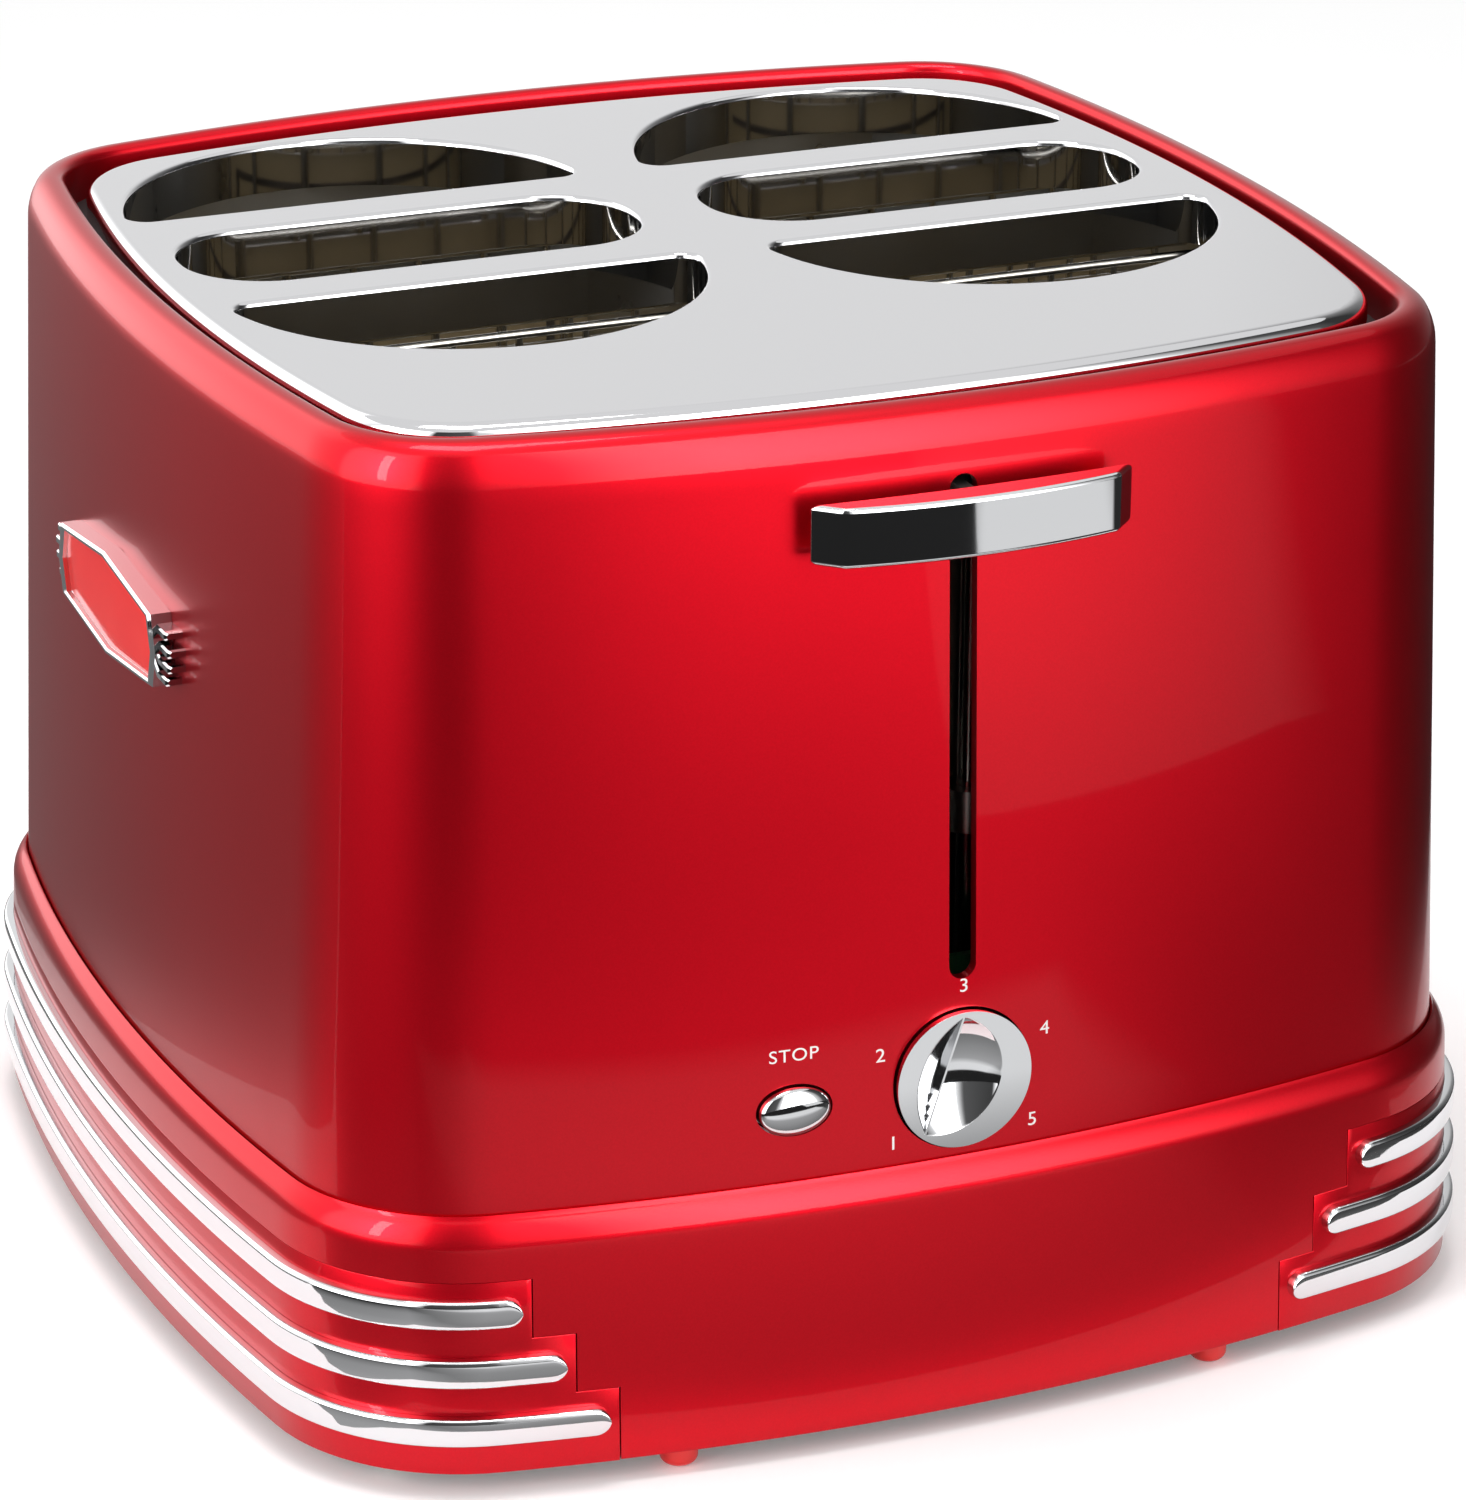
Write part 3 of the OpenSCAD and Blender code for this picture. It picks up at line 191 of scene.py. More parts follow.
def dress(o, material, body, slot, *nodes):
    """Gives a finished piece its material and body, and hides the CAD nodes that it stands for; the slot is
    not used.
    """
    o.data.materials.clear()
    o.data.materials.append(material)
    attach(o, body)
    if nodes:
        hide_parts(*nodes)
    return o

def rounded_y(r, y0, y1, x, z, squash=1.0, n=96):
    """A solid of round or oval section that lies along Y."""
    t = np.linspace(0, 2 * pi, n, endpoint=False)
    loop = [(x + r * cos(a), z + r * squash * sin(a)) for a in t]
    return [(px, y, pz) for y in (y0, y1) for px, pz in loop], capped(2, n)

# Candy paint: silver base under tinted clear, then a clear coat. Its ground glows red where
# light falls straight on it, darkens as it turns away, and the coat mirrors the room.
def candy(t):
    place = node(t, "ShaderNodeTexCoord")
    flake = node(t, "ShaderNodeTexNoise", {"Scale": 2600.0, "Detail": 2.0}, Vector=place.outputs["Object"])
    cloud = node(t, "ShaderNodeTexNoise", {"Scale": 9.0, "Detail": 3.0}, Vector=place.outputs["Object"])
    turned = node(t, "ShaderNodeLayerWeight", {"Blend": 0.35})
    tint = node(t, "ShaderNodeMix", {"data_type": "RGBA", 6: linear("#C40116"), 7: linear("#D6041C")},
                _0=flake.outputs[0])
    deep = node(t, "ShaderNodeMix", {"data_type": "RGBA", 7: linear("#900010")},
                _0=turned.outputs["Facing"], _6=tint.outputs["Result"])
    rough = node(t, "ShaderNodeMapRange", {"To Min": 0.30, "To Max": 0.36}, Value=cloud.outputs[0])
    bump = node(t, "ShaderNodeBump", {"Strength": 0.03, "Distance": 0.00002}, Height=flake.outputs[0])
    return node(t, "ShaderNodeBsdfPrincipled",
                {"Metallic": 0.88, "Coat Weight": 0.25, "Coat Roughness": 0.03, "Coat IOR": 1.5},
                Base_Color=deep.outputs["Result"], Roughness=rough.outputs[0], Normal=bump.outputs[0])
candy_paint = finish("candy_red_metallic_paint", candy)

crest_z = total_h - rim_r
soft_z = crest_z - (soft_r - rim_r) * sin(rim_turn)
soft_d = lean(soft_z + soft_r * sin(draft)) - soft_r * cos(draft)
crest_d = soft_d + (soft_r - rim_r) * cos(rim_turn)
lip_d, lip_z = crest_d - lip_r, total_h - lip_drop
wall_rows = np.arange(ledge_z, soft_z, 3.2)
inner_rows = np.linspace(soft_z - 2, ledge_z, 20)
shell_profile = np.concatenate([
    [[lean(z), z] for z in wall_rows],
    arc((soft_d, soft_z), soft_r, degrees(draft), degrees(rim_turn), 5),
    arc((crest_d, crest_z), rim_r, degrees(rim_turn) + 8, 90, 8),
    arc((crest_d, total_h - lip_r), lip_r, 102, 180, 6),
    [[lip_d, lip_z + 2], [lip_d, lip_z], [lip_d + lip_t, lip_z]],
    arc((crest_d, crest_z), rim_r - wall, degrees(acos((lip_t - lip_r) / (rim_r - wall))),
        degrees(rim_turn), 4),
    arc((soft_d, soft_z), soft_r - wall, degrees(rim_turn) - 8, degrees(draft), 3),
    [[lean(z) - wall, z] for z in inner_rows]])
body_skin = mesh_object("body_skin", *swept(body_path, shell_profile, (34, 16, 30)))

knob_z, knob_r, ring_gap = 67.0, 12.95, 0.35
button_x, button_z, button_w, button_h, button_gap = -31.8, 65.7, 13.4, 9.0, 0.4
slot_w, slot_top, slot_foot = 5.2, 178.0, 85.7
through = (-140, -100)   # cutters run from before the front wall to behind it
n_slot = 24
slot_loop = np.concatenate([arc((0, slot_foot + slot_w / 2), slot_w / 2, 180, 360, n_slot),
                            arc((0, slot_top - slot_w / 2), slot_w / 2, 0, 180, n_slot)])
slot_cutter = mesh_object("slot_cutter", [(x, y, z) for y in through for x, z in slot_loop],
                          capped(2, len(slot_loop)))
knob_cutter = mesh_object("knob_cutter", *rounded_y(knob_r + ring_gap, *through, 0, knob_z))
hole_w, hole_h = button_w + 2 * button_gap, button_h + 2 * button_gap
button_cutter = mesh_object("button_cutter", *rounded_y(hole_w / 2, *through, button_x, button_z,
                                                        hole_h / hole_w, 64))
outward(body_skin)
cut(body_skin, [slot_cutter, knob_cutter, button_cutter])
smooth(body_skin, 40)
dress(body_skin, candy_paint, "housing", "red_paint", "body_shell")

# ---------------------------------------------------------------------------
# Skirt: a moulded band in the same paint. Its shoulder rolls in to meet the
# body in a hollow, and stepped panels are let into it at both sides.
# ---------------------------------------------------------------------------
skirt_z, shoulder_z, flare, shoulder_r, cove_r, skirt_wall = 4.4, 46.5, 4.7, 8.0, 4.0, 3.0
skirt_edge, edge_mid, seam, ledge_in, ledge_t = 0.5, 0.14, 0.45, 3.0, 2.5
rib_z, rib_pitch, rib_h, rib_out, rib_end, rib_step = 12.9, 11.2, 5.4, 2.0, 66.5, 7.5
panel_t, panel_gap, panel_lead = 1.6, 0.2, 1.8

def skirt_face(z):
    return flare - (z - skirt_z) * tan(draft)

turn_z = shoulder_z - shoulder_r * sin(draft)
shoulder_d = skirt_face(shoulder_z) - shoulder_r * cos(draft)
cove_rise = sqrt((shoulder_r + cove_r) ** 2 - (cove_r - shoulder_d) ** 2)
meet = degrees(atan2(cove_rise, cove_r - shoulder_d))
edge_turn = degrees(acos((cove_r - seam) / cove_r))
skirt_rows = np.linspace(skirt_z + skirt_edge, shoulder_z - 1, 14)
skirt_profile = np.concatenate([
    [[flare - skirt_wall, skirt_z], [skirt_face(skirt_z) - skirt_edge, skirt_z],
     [skirt_face(skirt_z) - edge_mid, skirt_z + edge_mid]],
    [[skirt_face(z), z] for z in skirt_rows],
    arc((shoulder_d, turn_z), shoulder_r, degrees(draft), meet, 12),
    arc((cove_r, turn_z + cove_rise), cove_r, 180 + meet, 180 + edge_turn, 4)[1:],
    [[0.12, turn_z + cove_rise - cove_r * sin(radians(edge_turn)) - 0.4], [0.3, ledge_z],
     [-ledge_in, ledge_z], [-ledge_in, ledge_z - ledge_t], [flare - skirt_wall, ledge_z - ledge_t]]])
skirt_skin = mesh_object("skirt_skin", *swept(body_path, skirt_profile, (34, 16, 30)))

def band_top(i):
    return rib_z + rib_pitch * i + rib_pitch / 2

def panel_grid(side, grow, low, out):
    """The stepped panel as quads on the skirt's face: three bands, each with its own front and rear end."""
    ends = [rib_end + rib_step * i - panel_lead - grow for i in range(3)]
    tops = [low] + [band_top(i) + grow for i in range(3)]
    rows = quarter(body_path, 1, 1, 1)
    cols = []
    for a, b in zip([ends[0], ends[1], ends[2]], [ends[1], ends[2], None]):
        q = quarter(body_path, 1 if b else 6, 16, 24, a)
        cols += [q[0]] if b else q
    n = len(cols)
    verts, faces, index = [], [], {}
    def vert(k, z, flip):
        key = (k, round(z, 4), flip if k < n - 1 else 0)
        if key not in index:
            x, y = points([cols[k]], skirt_face(z) + out)[0]
            index[key] = len(verts)
            verts.append((side * x, y if not flip else -y, z))
        return index[key]
    for i in range(3):
        for flip in (0, 1):
            for k in range(i, n - 1):
                q = [vert(k, tops[i], flip), vert(k + 1, tops[i], flip),
                     vert(k + 1, tops[i + 1], flip), vert(k, tops[i + 1], flip)]
                faces.append(tuple(q if (flip == 0) == (side > 0) else q[::-1]))
    return verts, faces

def panel_piece(name, side, grow, low, out, thick, bevel=0.0):
    o = mesh_object(name, *panel_grid(side, grow, low, out))
    m = o.modifiers.new("thickness", "SOLIDIFY")
    m.thickness, m.offset, m.use_even_offset = thick * mm, -1, True
    if bevel:
        bevelled(o, bevel, 2, 50)
    bake(o)
    return o

cutters = [panel_piece(f"panel_cutter_{s}", s, panel_gap, skirt_z - 2, 3.0, 3.0 + panel_t) for s in (-1, 1)]
tray_w, tray_z, tray_h, tray_gap, tray_under = 124.0, 6.3, 7.4, 1.5, 0.5
def block(name, x0, x1, y0, y1, z0, z1):
    v = [(x, y, z) for x in (x0, x1) for y in (y0, y1) for z in (z0, z1)]
    return mesh_object(name, v, [(0, 1, 3, 2), (4, 6, 7, 5), (0, 4, 5, 1), (2, 3, 7, 6), (0, 2, 6, 4),
                                 (1, 5, 7, 3)])
cutters.append(block("window", -tray_w / 2 - tray_gap, tray_w / 2 + tray_gap, 90, 140,
                     tray_z - tray_under, tray_z + tray_h + tray_gap))
outward(skirt_skin)
cut(skirt_skin, cutters)
smooth(skirt_skin, 40)
dress(skirt_skin, candy_paint, "housing", "red_paint", "base_skirt")
for side, name in ((-1, "left"), (1, "right")):
    panel = panel_piece("panel_" + name, side, 0, skirt_z + 0.02, 0.0, panel_t - 0.05, 0.12)
    smooth(panel, 40)
    dress(panel, candy_paint, "housing", "red_paint", "trim_panel_" + name)

# ---------------------------------------------------------------------------
# Ribs: six strips of plated plastic, D-shaped, that wrap the corners of the
# skirt and end in half rounds.
# ---------------------------------------------------------------------------
# Chrome plate: a hard mirror with the faint haze of wiped plating.
def plated(shade, low, high):
    def shader(t):
        place = node(t, "ShaderNodeTexCoord")
        haze = node(t, "ShaderNodeTexNoise", {"Scale": 35.0, "Detail": 4.0, "Roughness": 0.6},
                    Vector=place.outputs["Object"])
        rough = node(t, "ShaderNodeMapRange", {"To Min": low, "To Max": high}, Value=haze.outputs[0])
        fine = node(t, "ShaderNodeTexNoise", {"Scale": 420.0, "Detail": 2.0}, Vector=place.outputs["Object"])
        bump = node(t, "ShaderNodeBump", {"Strength": 0.02, "Distance": 0.00003}, Height=fine.outputs[0])
        return node(t, "ShaderNodeBsdfPrincipled", {"Base Color": linear(shade), "Metallic": 1.0},
                    Roughness=rough.outputs[0], Normal=bump.outputs[0])
    return shader
chrome = finish("chrome_plated_plastic", plated("#DADBDD", 0.03, 0.07))

def grown(name, inputs, build):
    """A plain mesh object that a Geometry Nodes group makes from named inputs of (socket type, value)."""
    tree = bpy.data.node_groups.new(name, "GeometryNodeTree")
    tree.interface.new_socket("Geometry", in_out="OUTPUT", socket_type="NodeSocketGeometry")
    sockets = {label: tree.interface.new_socket(label, in_out="INPUT", socket_type=kind).identifier
               for label, (kind, value) in inputs.items()}
    given, out = node(tree, "NodeGroupInput"), node(tree, "NodeGroupOutput")
    tree.links.new(build(tree, given.outputs), out.inputs[0])
    o = mesh_object(name, [], [])
    m = o.modifiers.new("grow", "NODES")
    m.node_group = tree
    for label, (kind, value) in inputs.items():
        m[sockets[label]] = value
    bake(o)
    for kind, value in inputs.values():
        if kind == "NodeSocketObject":
            bpy.data.objects.remove(value)
    return o

def realized(tree, geometry, given):
    """The last two nodes of every group: its instances made real and given the material."""
    real = node(tree, "GeometryNodeRealizeInstances", {}, Geometry=geometry)
    return node(tree, "GeometryNodeSetMaterial", {}, Geometry=real.outputs[0],
                Material=given["Material"]).outputs[0]

rib_round, rib_crown, rib_sunk = 0.9, 0.12, 0.05
def rib_section(h):
    """Rib section as [out of the skirt, up] points: flat back, rounded edges, slightly crowned face."""
    r = min(rib_round, h * 0.6)
    face = [[rib_out - rib_crown * (z / max(h, 1e-6)) ** 2, z] for z in np.linspace(-(h - r), h - r, 7)]
    low = arc((rib_out - rib_crown - r, -(h - r)), r, -90, 0, 5)
    high = arc((rib_out - rib_crown - r, h - r), r, 0, 90, 5)
    return np.concatenate([[[-rib_sunk, -h]], low, face[1:-1], high, [[-rib_sunk, h]]])

def wire(name, verts, closed=False):
    """A mesh of points joined in a row, for a path or a section."""
    o = mesh_object(name, [], [])
    ends = [(k, (k + 1) % len(verts)) for k in range(len(verts) - (0 if closed else 1))]
    o.data.from_pydata([[c * mm for c in v] for v in verts], ends, [])
    return o

def strip(t, given):
    """The section swept along the path, squeezed in height by the path's "half", then lifted into place."""
    path, section = (node(t, "GeometryNodeObjectInfo", {}, Object=given[k]) for k in ("Path", "Section"))
    line = node(t, "GeometryNodeMeshToCurve", {}, Mesh=path.outputs["Geometry"])
    level = node(t, "GeometryNodeSetCurveNormal", {"mode": "Z_UP"}, Curve=line.outputs[0])
    shape = node(t, "GeometryNodeMeshToCurve", {}, Mesh=section.outputs["Geometry"])
    solid = node(t, "GeometryNodeCurveToMesh", {"Fill Caps": True}, Curve=level.outputs[0],
                 Profile_Curve=shape.outputs[0])
    half = node(t, "GeometryNodeInputNamedAttribute", {"data_type": "FLOAT", "Name": "half"})
    at = node(t, "ShaderNodeSeparateXYZ", {}, _0=node(t, "GeometryNodeInputPosition").outputs[0])
    squeezed = node(t, "ShaderNodeMath", {"operation": "MULTIPLY"}, _0=at.outputs["Z"], _1=half.outputs[0])
    lifted = node(t, "ShaderNodeMath", {"operation": "ADD"}, _0=squeezed.outputs[0], _1=given["Height"])
    to = node(t, "ShaderNodeCombineXYZ", {}, X=at.outputs["X"], Y=at.outputs["Y"], Z=lifted.outputs[0])
    moved = node(t, "GeometryNodeSetPosition", {}, Geometry=solid.outputs[0], Position=to.outputs[0])
    return realized(t, moved.outputs[0], given)

def rib(name, side, i):
    z0, r, reach = rib_z + rib_pitch * i, rib_h / 2, rib_end + rib_step * i
    rows = quarter(body_path, 10, 22, 30, reach + r)
    path, halves = [], []
    for t in np.radians(np.linspace(8, 90, 9)):
        e = degrees(asin((reach + r - r * cos(t)) / body_path["front"]))
        path.append(((0, body_path["front"] - body_path["d"]), body_path["front"], e - 90))
        halves.append(sin(t))
    path += rows[1:]
    path += [((c[0], -c[1]), q, -a) for c, q, a in path[::-1][1:]]
    halves += [1.0] * (len(path) - 2 * len(halves)) + halves[::-1]
    line = wire("path", [(x, y, 0) for x, y in points(path, skirt_face(z0))])
    line.data.attributes.new("half", "FLOAT", "POINT").data.foreach_set("value", halves)
    section = wire("section", [(out, -z, 0) for out, z in rib_section(r)], True)
    o = grown(name, {"Path": ("NodeSocketObject", line), "Section": ("NodeSocketObject", section),
                     "Height": ("NodeSocketFloat", z0 * mm),
                     "Material": ("NodeSocketMaterial", chrome)}, strip)
    if side < 0:
        o.data.transform(Matrix.Diagonal((-1, 1, 1, 1)))
    outward(o)
    smooth(o, 50)
    return o

for side, where in ((-1, "left"), (1, "right")):
    for i, level in enumerate(("lower", "middle", "upper")):
        node_name = f"rib_{where}_{level}"
        dress(rib("strip_" + node_name[4:], side, i), chrome, "housing", "chrome_trim", node_name)

# ---------------------------------------------------------------------------
# Top plate: polished steel sheet, pressed with six slots whose edges roll
# down, and with its own rim turned down on to the collar.
# ---------------------------------------------------------------------------
plate_path = dict(w=104.3, d=97.9, front=460.0, side=426.0, r=22.5)
plate_z, plate_t, plate_edge, slot_lip, slot_edge = total_h - 0.7, 0.9, 2.6, 9.5, 1.1
column_x, slots_y, dog_l, dog_w, dog_r = 52.0, 19.0, 88.6, 34.0, 16.0
bun_l, bun_d, bun_tip, bridge = 90.4, 42.0, 4.0, 11.3
bun_r = (bun_l ** 2 / 4 + bun_d ** 2) / (2 * bun_d)
bun_v0, bun_v = bun_d - bun_r, dog_w / 2 + bridge

def bun_loop(g):
    r, base, tip = bun_r + g, -g, bun_tip + g
    v = base + tip
    u = sqrt((r - tip) ** 2 - (v - bun_v0) ** 2)
    a = degrees(atan2(v - bun_v0, u))
    return np.concatenate([arc((u, v), tip, -90, a, 10), arc((0, bun_v0), r, a, 180 - a, 60)[1:],
                           arc((-u, v), tip, 180 - a, 270, 10)[1:],
                           [[-u + 2 * u * k / 20, base] for k in range(1, 20)]])

def dog_loop(g):
    x, y, r = dog_l / 2 - dog_r, dog_w / 2 - dog_r, dog_r + g
    return np.concatenate([arc((x, -y), r, -90, 0, 16), arc((x, y), r, 0, 90, 16),
                           [[x - 2 * x * k / 14, dog_w / 2 + g] for k in range(1, 14)],
                           arc((-x, y), r, 90, 180, 16), arc((-x, -y), r, 180, 270, 16),
                           [[-x + 2 * x * k / 14, -dog_w / 2 - g] for k in range(1, 14)]])

def slot_loops(g):
    out = []
    for x in (-column_x, column_x):
        out.append(dog_loop(g) + [x, slots_y])
        out.append(bun_loop(g) + [x, slots_y + bun_v])
        out.append(bun_loop(g)[::-1] * [1, -1] + [x, slots_y - bun_v])
    return out

def flat(loops, z, up):
    """A flat face bounded by the first loop, with the others as holes."""
    pts = [Vector(p) for l in loops for p in l]
    edges, base = [], 0
    for l in loops:
        edges += [(base + k, base + (k + 1) % len(l)) for k in range(len(l))]
        base += len(l)
    v, _, f, *_ = delaunay_2d_cdt(pts, edges, [], 0, 1e-7)
    v = np.array([list(p) for p in v])
    def inside(p, loop):
        x0, y0 = loop[:, 0], loop[:, 1]
        x1, y1 = np.roll(x0, -1), np.roll(y0, -1)
        hit = (y0 > p[1]) != (y1 > p[1])
        with np.errstate(divide="ignore", invalid="ignore"):
            return np.count_nonzero(hit & (p[0] < (x1 - x0) * (p[1] - y0) / (y1 - y0) + x0)) % 2 == 1
    keep = []
    for t in f:
        c = v[list(t)].mean(axis=0)
        if inside(c, loops[0]) and not any(inside(c, h) for h in loops[1:]):
            a, b, d = v[t[0]], v[t[1]], v[t[2]]
            ccw = (b[0] - a[0]) * (d[1] - a[1]) - (b[1] - a[1]) * (d[0] - a[0]) > 0
            keep.append(tuple(t) if ccw == up else tuple(t)[::-1])
    return [(p[0], p[1], z) for p in v], keep

def joined(parts):
    verts, faces = [], []
    for v, f in parts:
        faces += [tuple(i + len(verts) for i in q) for q in f]
        verts += list(v)
    return verts, faces

n_plate = (30, 16, 30)
plate_parts = []
outer = arc((-plate_edge, plate_z - plate_edge), plate_edge, 0, 90, 8)
inner = arc((-plate_edge, plate_z - plate_edge), plate_edge - plate_t, 90, 0, 5)
prof = np.concatenate([[[-plate_t, lip_z], [0, lip_z]], outer])
plate_parts.append(rings([whole(plate_path, d, n_plate) for d, z in prof], [z for d, z in prof]))
plate_parts.append(flat([whole(plate_path, -plate_edge, n_plate)] + slot_loops(slot_edge), plate_z, True))
prof = np.concatenate([inner, [[-plate_t, lip_z]]])
plate_parts.append(rings([whole(plate_path, d, n_plate) for d, z in prof], [z for d, z in prof]))
plate_parts.append(flat([whole(plate_path, -plate_edge, n_plate)] + slot_loops(plate_t),
                        plate_z - plate_t, False))
roll = [(slot_edge * (1 - sin(radians(a))), plate_z - slot_edge * (1 - cos(radians(a))))
        for a in range(0, 91, 10)]
roll += [(0, plate_z - slot_lip), (plate_t, plate_z - slot_lip), (plate_t, plate_z - plate_t)]
for k in range(6):
    plate_parts.append(rings([slot_loops(g)[k] for g, z in roll], [z for g, z in roll]))
# Polished steel: as bright as the plating, with the straight grain of its last buffing.
def buffed(t):
    place = node(t, "ShaderNodeTexCoord")
    along = node(t, "ShaderNodeMapping", {"Scale": (40.0, 2400.0, 400.0)}, Vector=place.outputs["Object"])
    grain = node(t, "ShaderNodeTexNoise", {"Scale": 1.0, "Detail": 3.0}, Vector=along.outputs[0])
    rough = node(t, "ShaderNodeMapRange", {"To Min": 0.035, "To Max": 0.075}, Value=grain.outputs[0])
    bump = node(t, "ShaderNodeBump", {"Strength": 0.02, "Distance": 0.00002}, Height=grain.outputs[0])
    return node(t, "ShaderNodeBsdfPrincipled", {"Base Color": linear("#D2D2D4"), "Metallic": 1.0},
                Roughness=rough.outputs[0], Normal=bump.outputs[0])
mirror_steel = finish("polished_stainless_steel", buffed)
plate = mesh_object("slotted_plate", *joined(plate_parts))
outward(plate, 0.00001)
smooth(plate, 40, True)
dress(plate, mirror_steel, "housing", "chrome_plate", "top_plate")

# ---------------------------------------------------------------------------
# Lever: a plated bar with a bowed face and slanted ends, pushed on to the
# steel blade that comes through the slot.
# ---------------------------------------------------------------------------
lever_w, lever_h, lever_t, lever_bow, lever_chamfer = 61.0, 10.8, 6.3, 125.0, 4.8
lever_z, lever_gap = 172.0, 4.4
handle_back = -(body_path["d"] + lean(lever_z)) - lever_gap
handle_front = handle_back - lever_t
turn = degrees(asin((lever_w / 2 - lever_chamfer) / lever_bow))
back_turn = degrees(asin(lever_w / 2 / (body_path["front"] + lever_gap)))
bar = np.concatenate([
    arc((0, handle_front + lever_bow), lever_bow, -90 - turn, -90 + turn, 32),
    arc((0, handle_back + body_path["front"] + lever_gap), body_path["front"] + lever_gap,
        -90 + back_turn, -90 - back_turn, 20)])
levels = (lever_z - lever_h / 2, lever_z + lever_h / 2)
lever = mesh_object("lever_bar", [(x, y, z) for z in levels for x, y in bar], capped(2, len(bar)))
outward(lever)
bevelled(lever, 0.9, 4, 25)
bake(lever)
smooth(lever, 40, True)
dress(lever, chrome, "carriage", "chrome_trim", "lever_handle")

# ---------------------------------------------------------------------------
# Knob: a plated disc sunk in the wall. Two scoops leave a straight ridge for
# the fingers, which also points at the setting.
# ---------------------------------------------------------------------------
knob_t, knob_out, knob_rim = 7.0, 1.2, 0.9
wide_scoop, narrow_scoop = (11.0, 4.2), (4.6, 5.0)   # width and depth
ridge_off, ridge_half, ridge_dir, ridge_draft = 4.2, 0.2, radians(71.6), tan(radians(12))
knob_face = -(body_path["d"] + lean(knob_z)) - knob_out
knob = mesh_object("timer_knob", *rounded_y(knob_r, knob_face, knob_face + knob_t, 0, knob_z, 1.0, 160))
across, along = Vector((sin(ridge_dir), 0, -cos(ridge_dir))), Vector((cos(ridge_dir), 0, sin(ridge_dir)))

def scoop(name, side, wide, deep):
    """A ball cut off along the ridge. The lens that it leaves ends with the ridge, at the rim."""
    edge = side * ridge_half - ridge_off
    chord = sqrt((knob_r - knob_rim) ** 2 - edge ** 2)
    mouth = (chord ** 2 + wide ** 2) / (2 * wide)
    ball = (mouth ** 2 + deep ** 2) / (2 * deep)
    middle = across * (edge + side * (wide - mouth)) + Vector((0, knob_face + deep - ball, knob_z))
    b = bmesh.new()
    bmesh.ops.create_uvsphere(b, u_segments=128, v_segments=96, radius=ball * mm,
                              matrix=Matrix.Translation(middle * mm) @ Matrix.Rotation(pi / 2, 4, "X"))
    wall_at = across * edge + Vector((0, knob_face, knob_z))
    cut_off = bmesh.ops.bisect_plane(b, geom=b.verts[:] + b.edges[:] + b.faces[:], plane_co=wall_at * mm,
                                     plane_no=Vector((0, ridge_draft, 0)) - side * across, clear_outer=True)
    bmesh.ops.edgeloop_fill(b, edges=[e for e in cut_off["geom_cut"] if isinstance(e, bmesh.types.BMEdge)])
    o = mesh_object(name, [], [])
    b.to_mesh(o.data)
    b.free()
    return o
outward(knob)
cut(knob, [scoop("wide", 1, *wide_scoop), scoop("narrow", -1, *narrow_scoop)])
bevelled(knob, 0.22, 2, 35)
bake(knob)
smooth(knob, 40, True)
dress(knob, chrome, "knob", "chrome_trim", "knob")

# ---------------------------------------------------------------------------
# Stop button: a small plated oval with a domed face, on its stem.
# ---------------------------------------------------------------------------
button_y = -(sqrt((body_path["front"] + lean(button_z)) ** 2 - button_x ** 2)
             - (body_path["front"] - body_path["d"]))
button_side, button_dome = 0.5, 1.9
button_flange, flange_t, stem_r = 1.5, 1.2, 2.0
button_back, n = button_y + wall + 2.6, 72
stem_end = max(v.co.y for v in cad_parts["stop_button"].data.vertices) / mm
bow = [(sin(radians(a)), button_y - button_side - button_dome * cos(radians(a)))
       for a in np.linspace(7.5, 90, 12)]
rows = [(f * button_w / 2, f * button_h / 2, y) for f, y in bow]
wide, high = button_w / 2 + button_flange, button_h / 2 + button_flange
rows += [(button_w / 2, button_h / 2, button_back - flange_t), (wide, high, button_back - flange_t),
         (wide, high, button_back), (stem_r, stem_r, button_back), (stem_r, stem_r, stem_end)]
verts = [(button_x + w * cos(t), y, button_z + h * sin(t)) for w, h, y in rows
         for t in np.linspace(0, 2 * pi, n, endpoint=False)]
verts.append((button_x, button_y - button_side - button_dome, button_z))
tip = len(verts) - 1
faces = bands(len(rows), n)
faces += [(tip, (k + 1) % n, k) for k in range(n)] + [tuple(range(tip - n, tip))]
cap = mesh_object("stop_cap", verts, faces)
outward(cap)
smooth(cap, 50)
dress(cap, chrome, "stop_button", "chrome_trim", "stop_button")

# ---------------------------------------------------------------------------
# Legends: printed in white on the wall, in a plain face: 1 to 5 round the
# knob and the word over the button.
# ---------------------------------------------------------------------------
# Pad-printed ink: flat white with a slight tooth.
def ink(t):
    place = node(t, "ShaderNodeTexCoord")
    tooth = node(t, "ShaderNodeTexNoise", {"Scale": 900.0}, Vector=place.outputs["Object"])
    rough = node(t, "ShaderNodeMapRange", {"To Min": 0.4, "To Max": 0.55}, Value=tooth.outputs[0])
    return node(t, "ShaderNodeBsdfPrincipled", {"Base Color": linear("#F2ECEA")}, Roughness=rough.outputs[0])
white_ink = finish("white_printing_ink", ink)

def front_wall(x, z, out):
    return -(sqrt((body_path["front"] + lean(z) + out) ** 2 - x * x) - (body_path["front"] - body_path["d"]))

print_out, print_sunk, letter_gap = 0.04, 0.05, 1.08

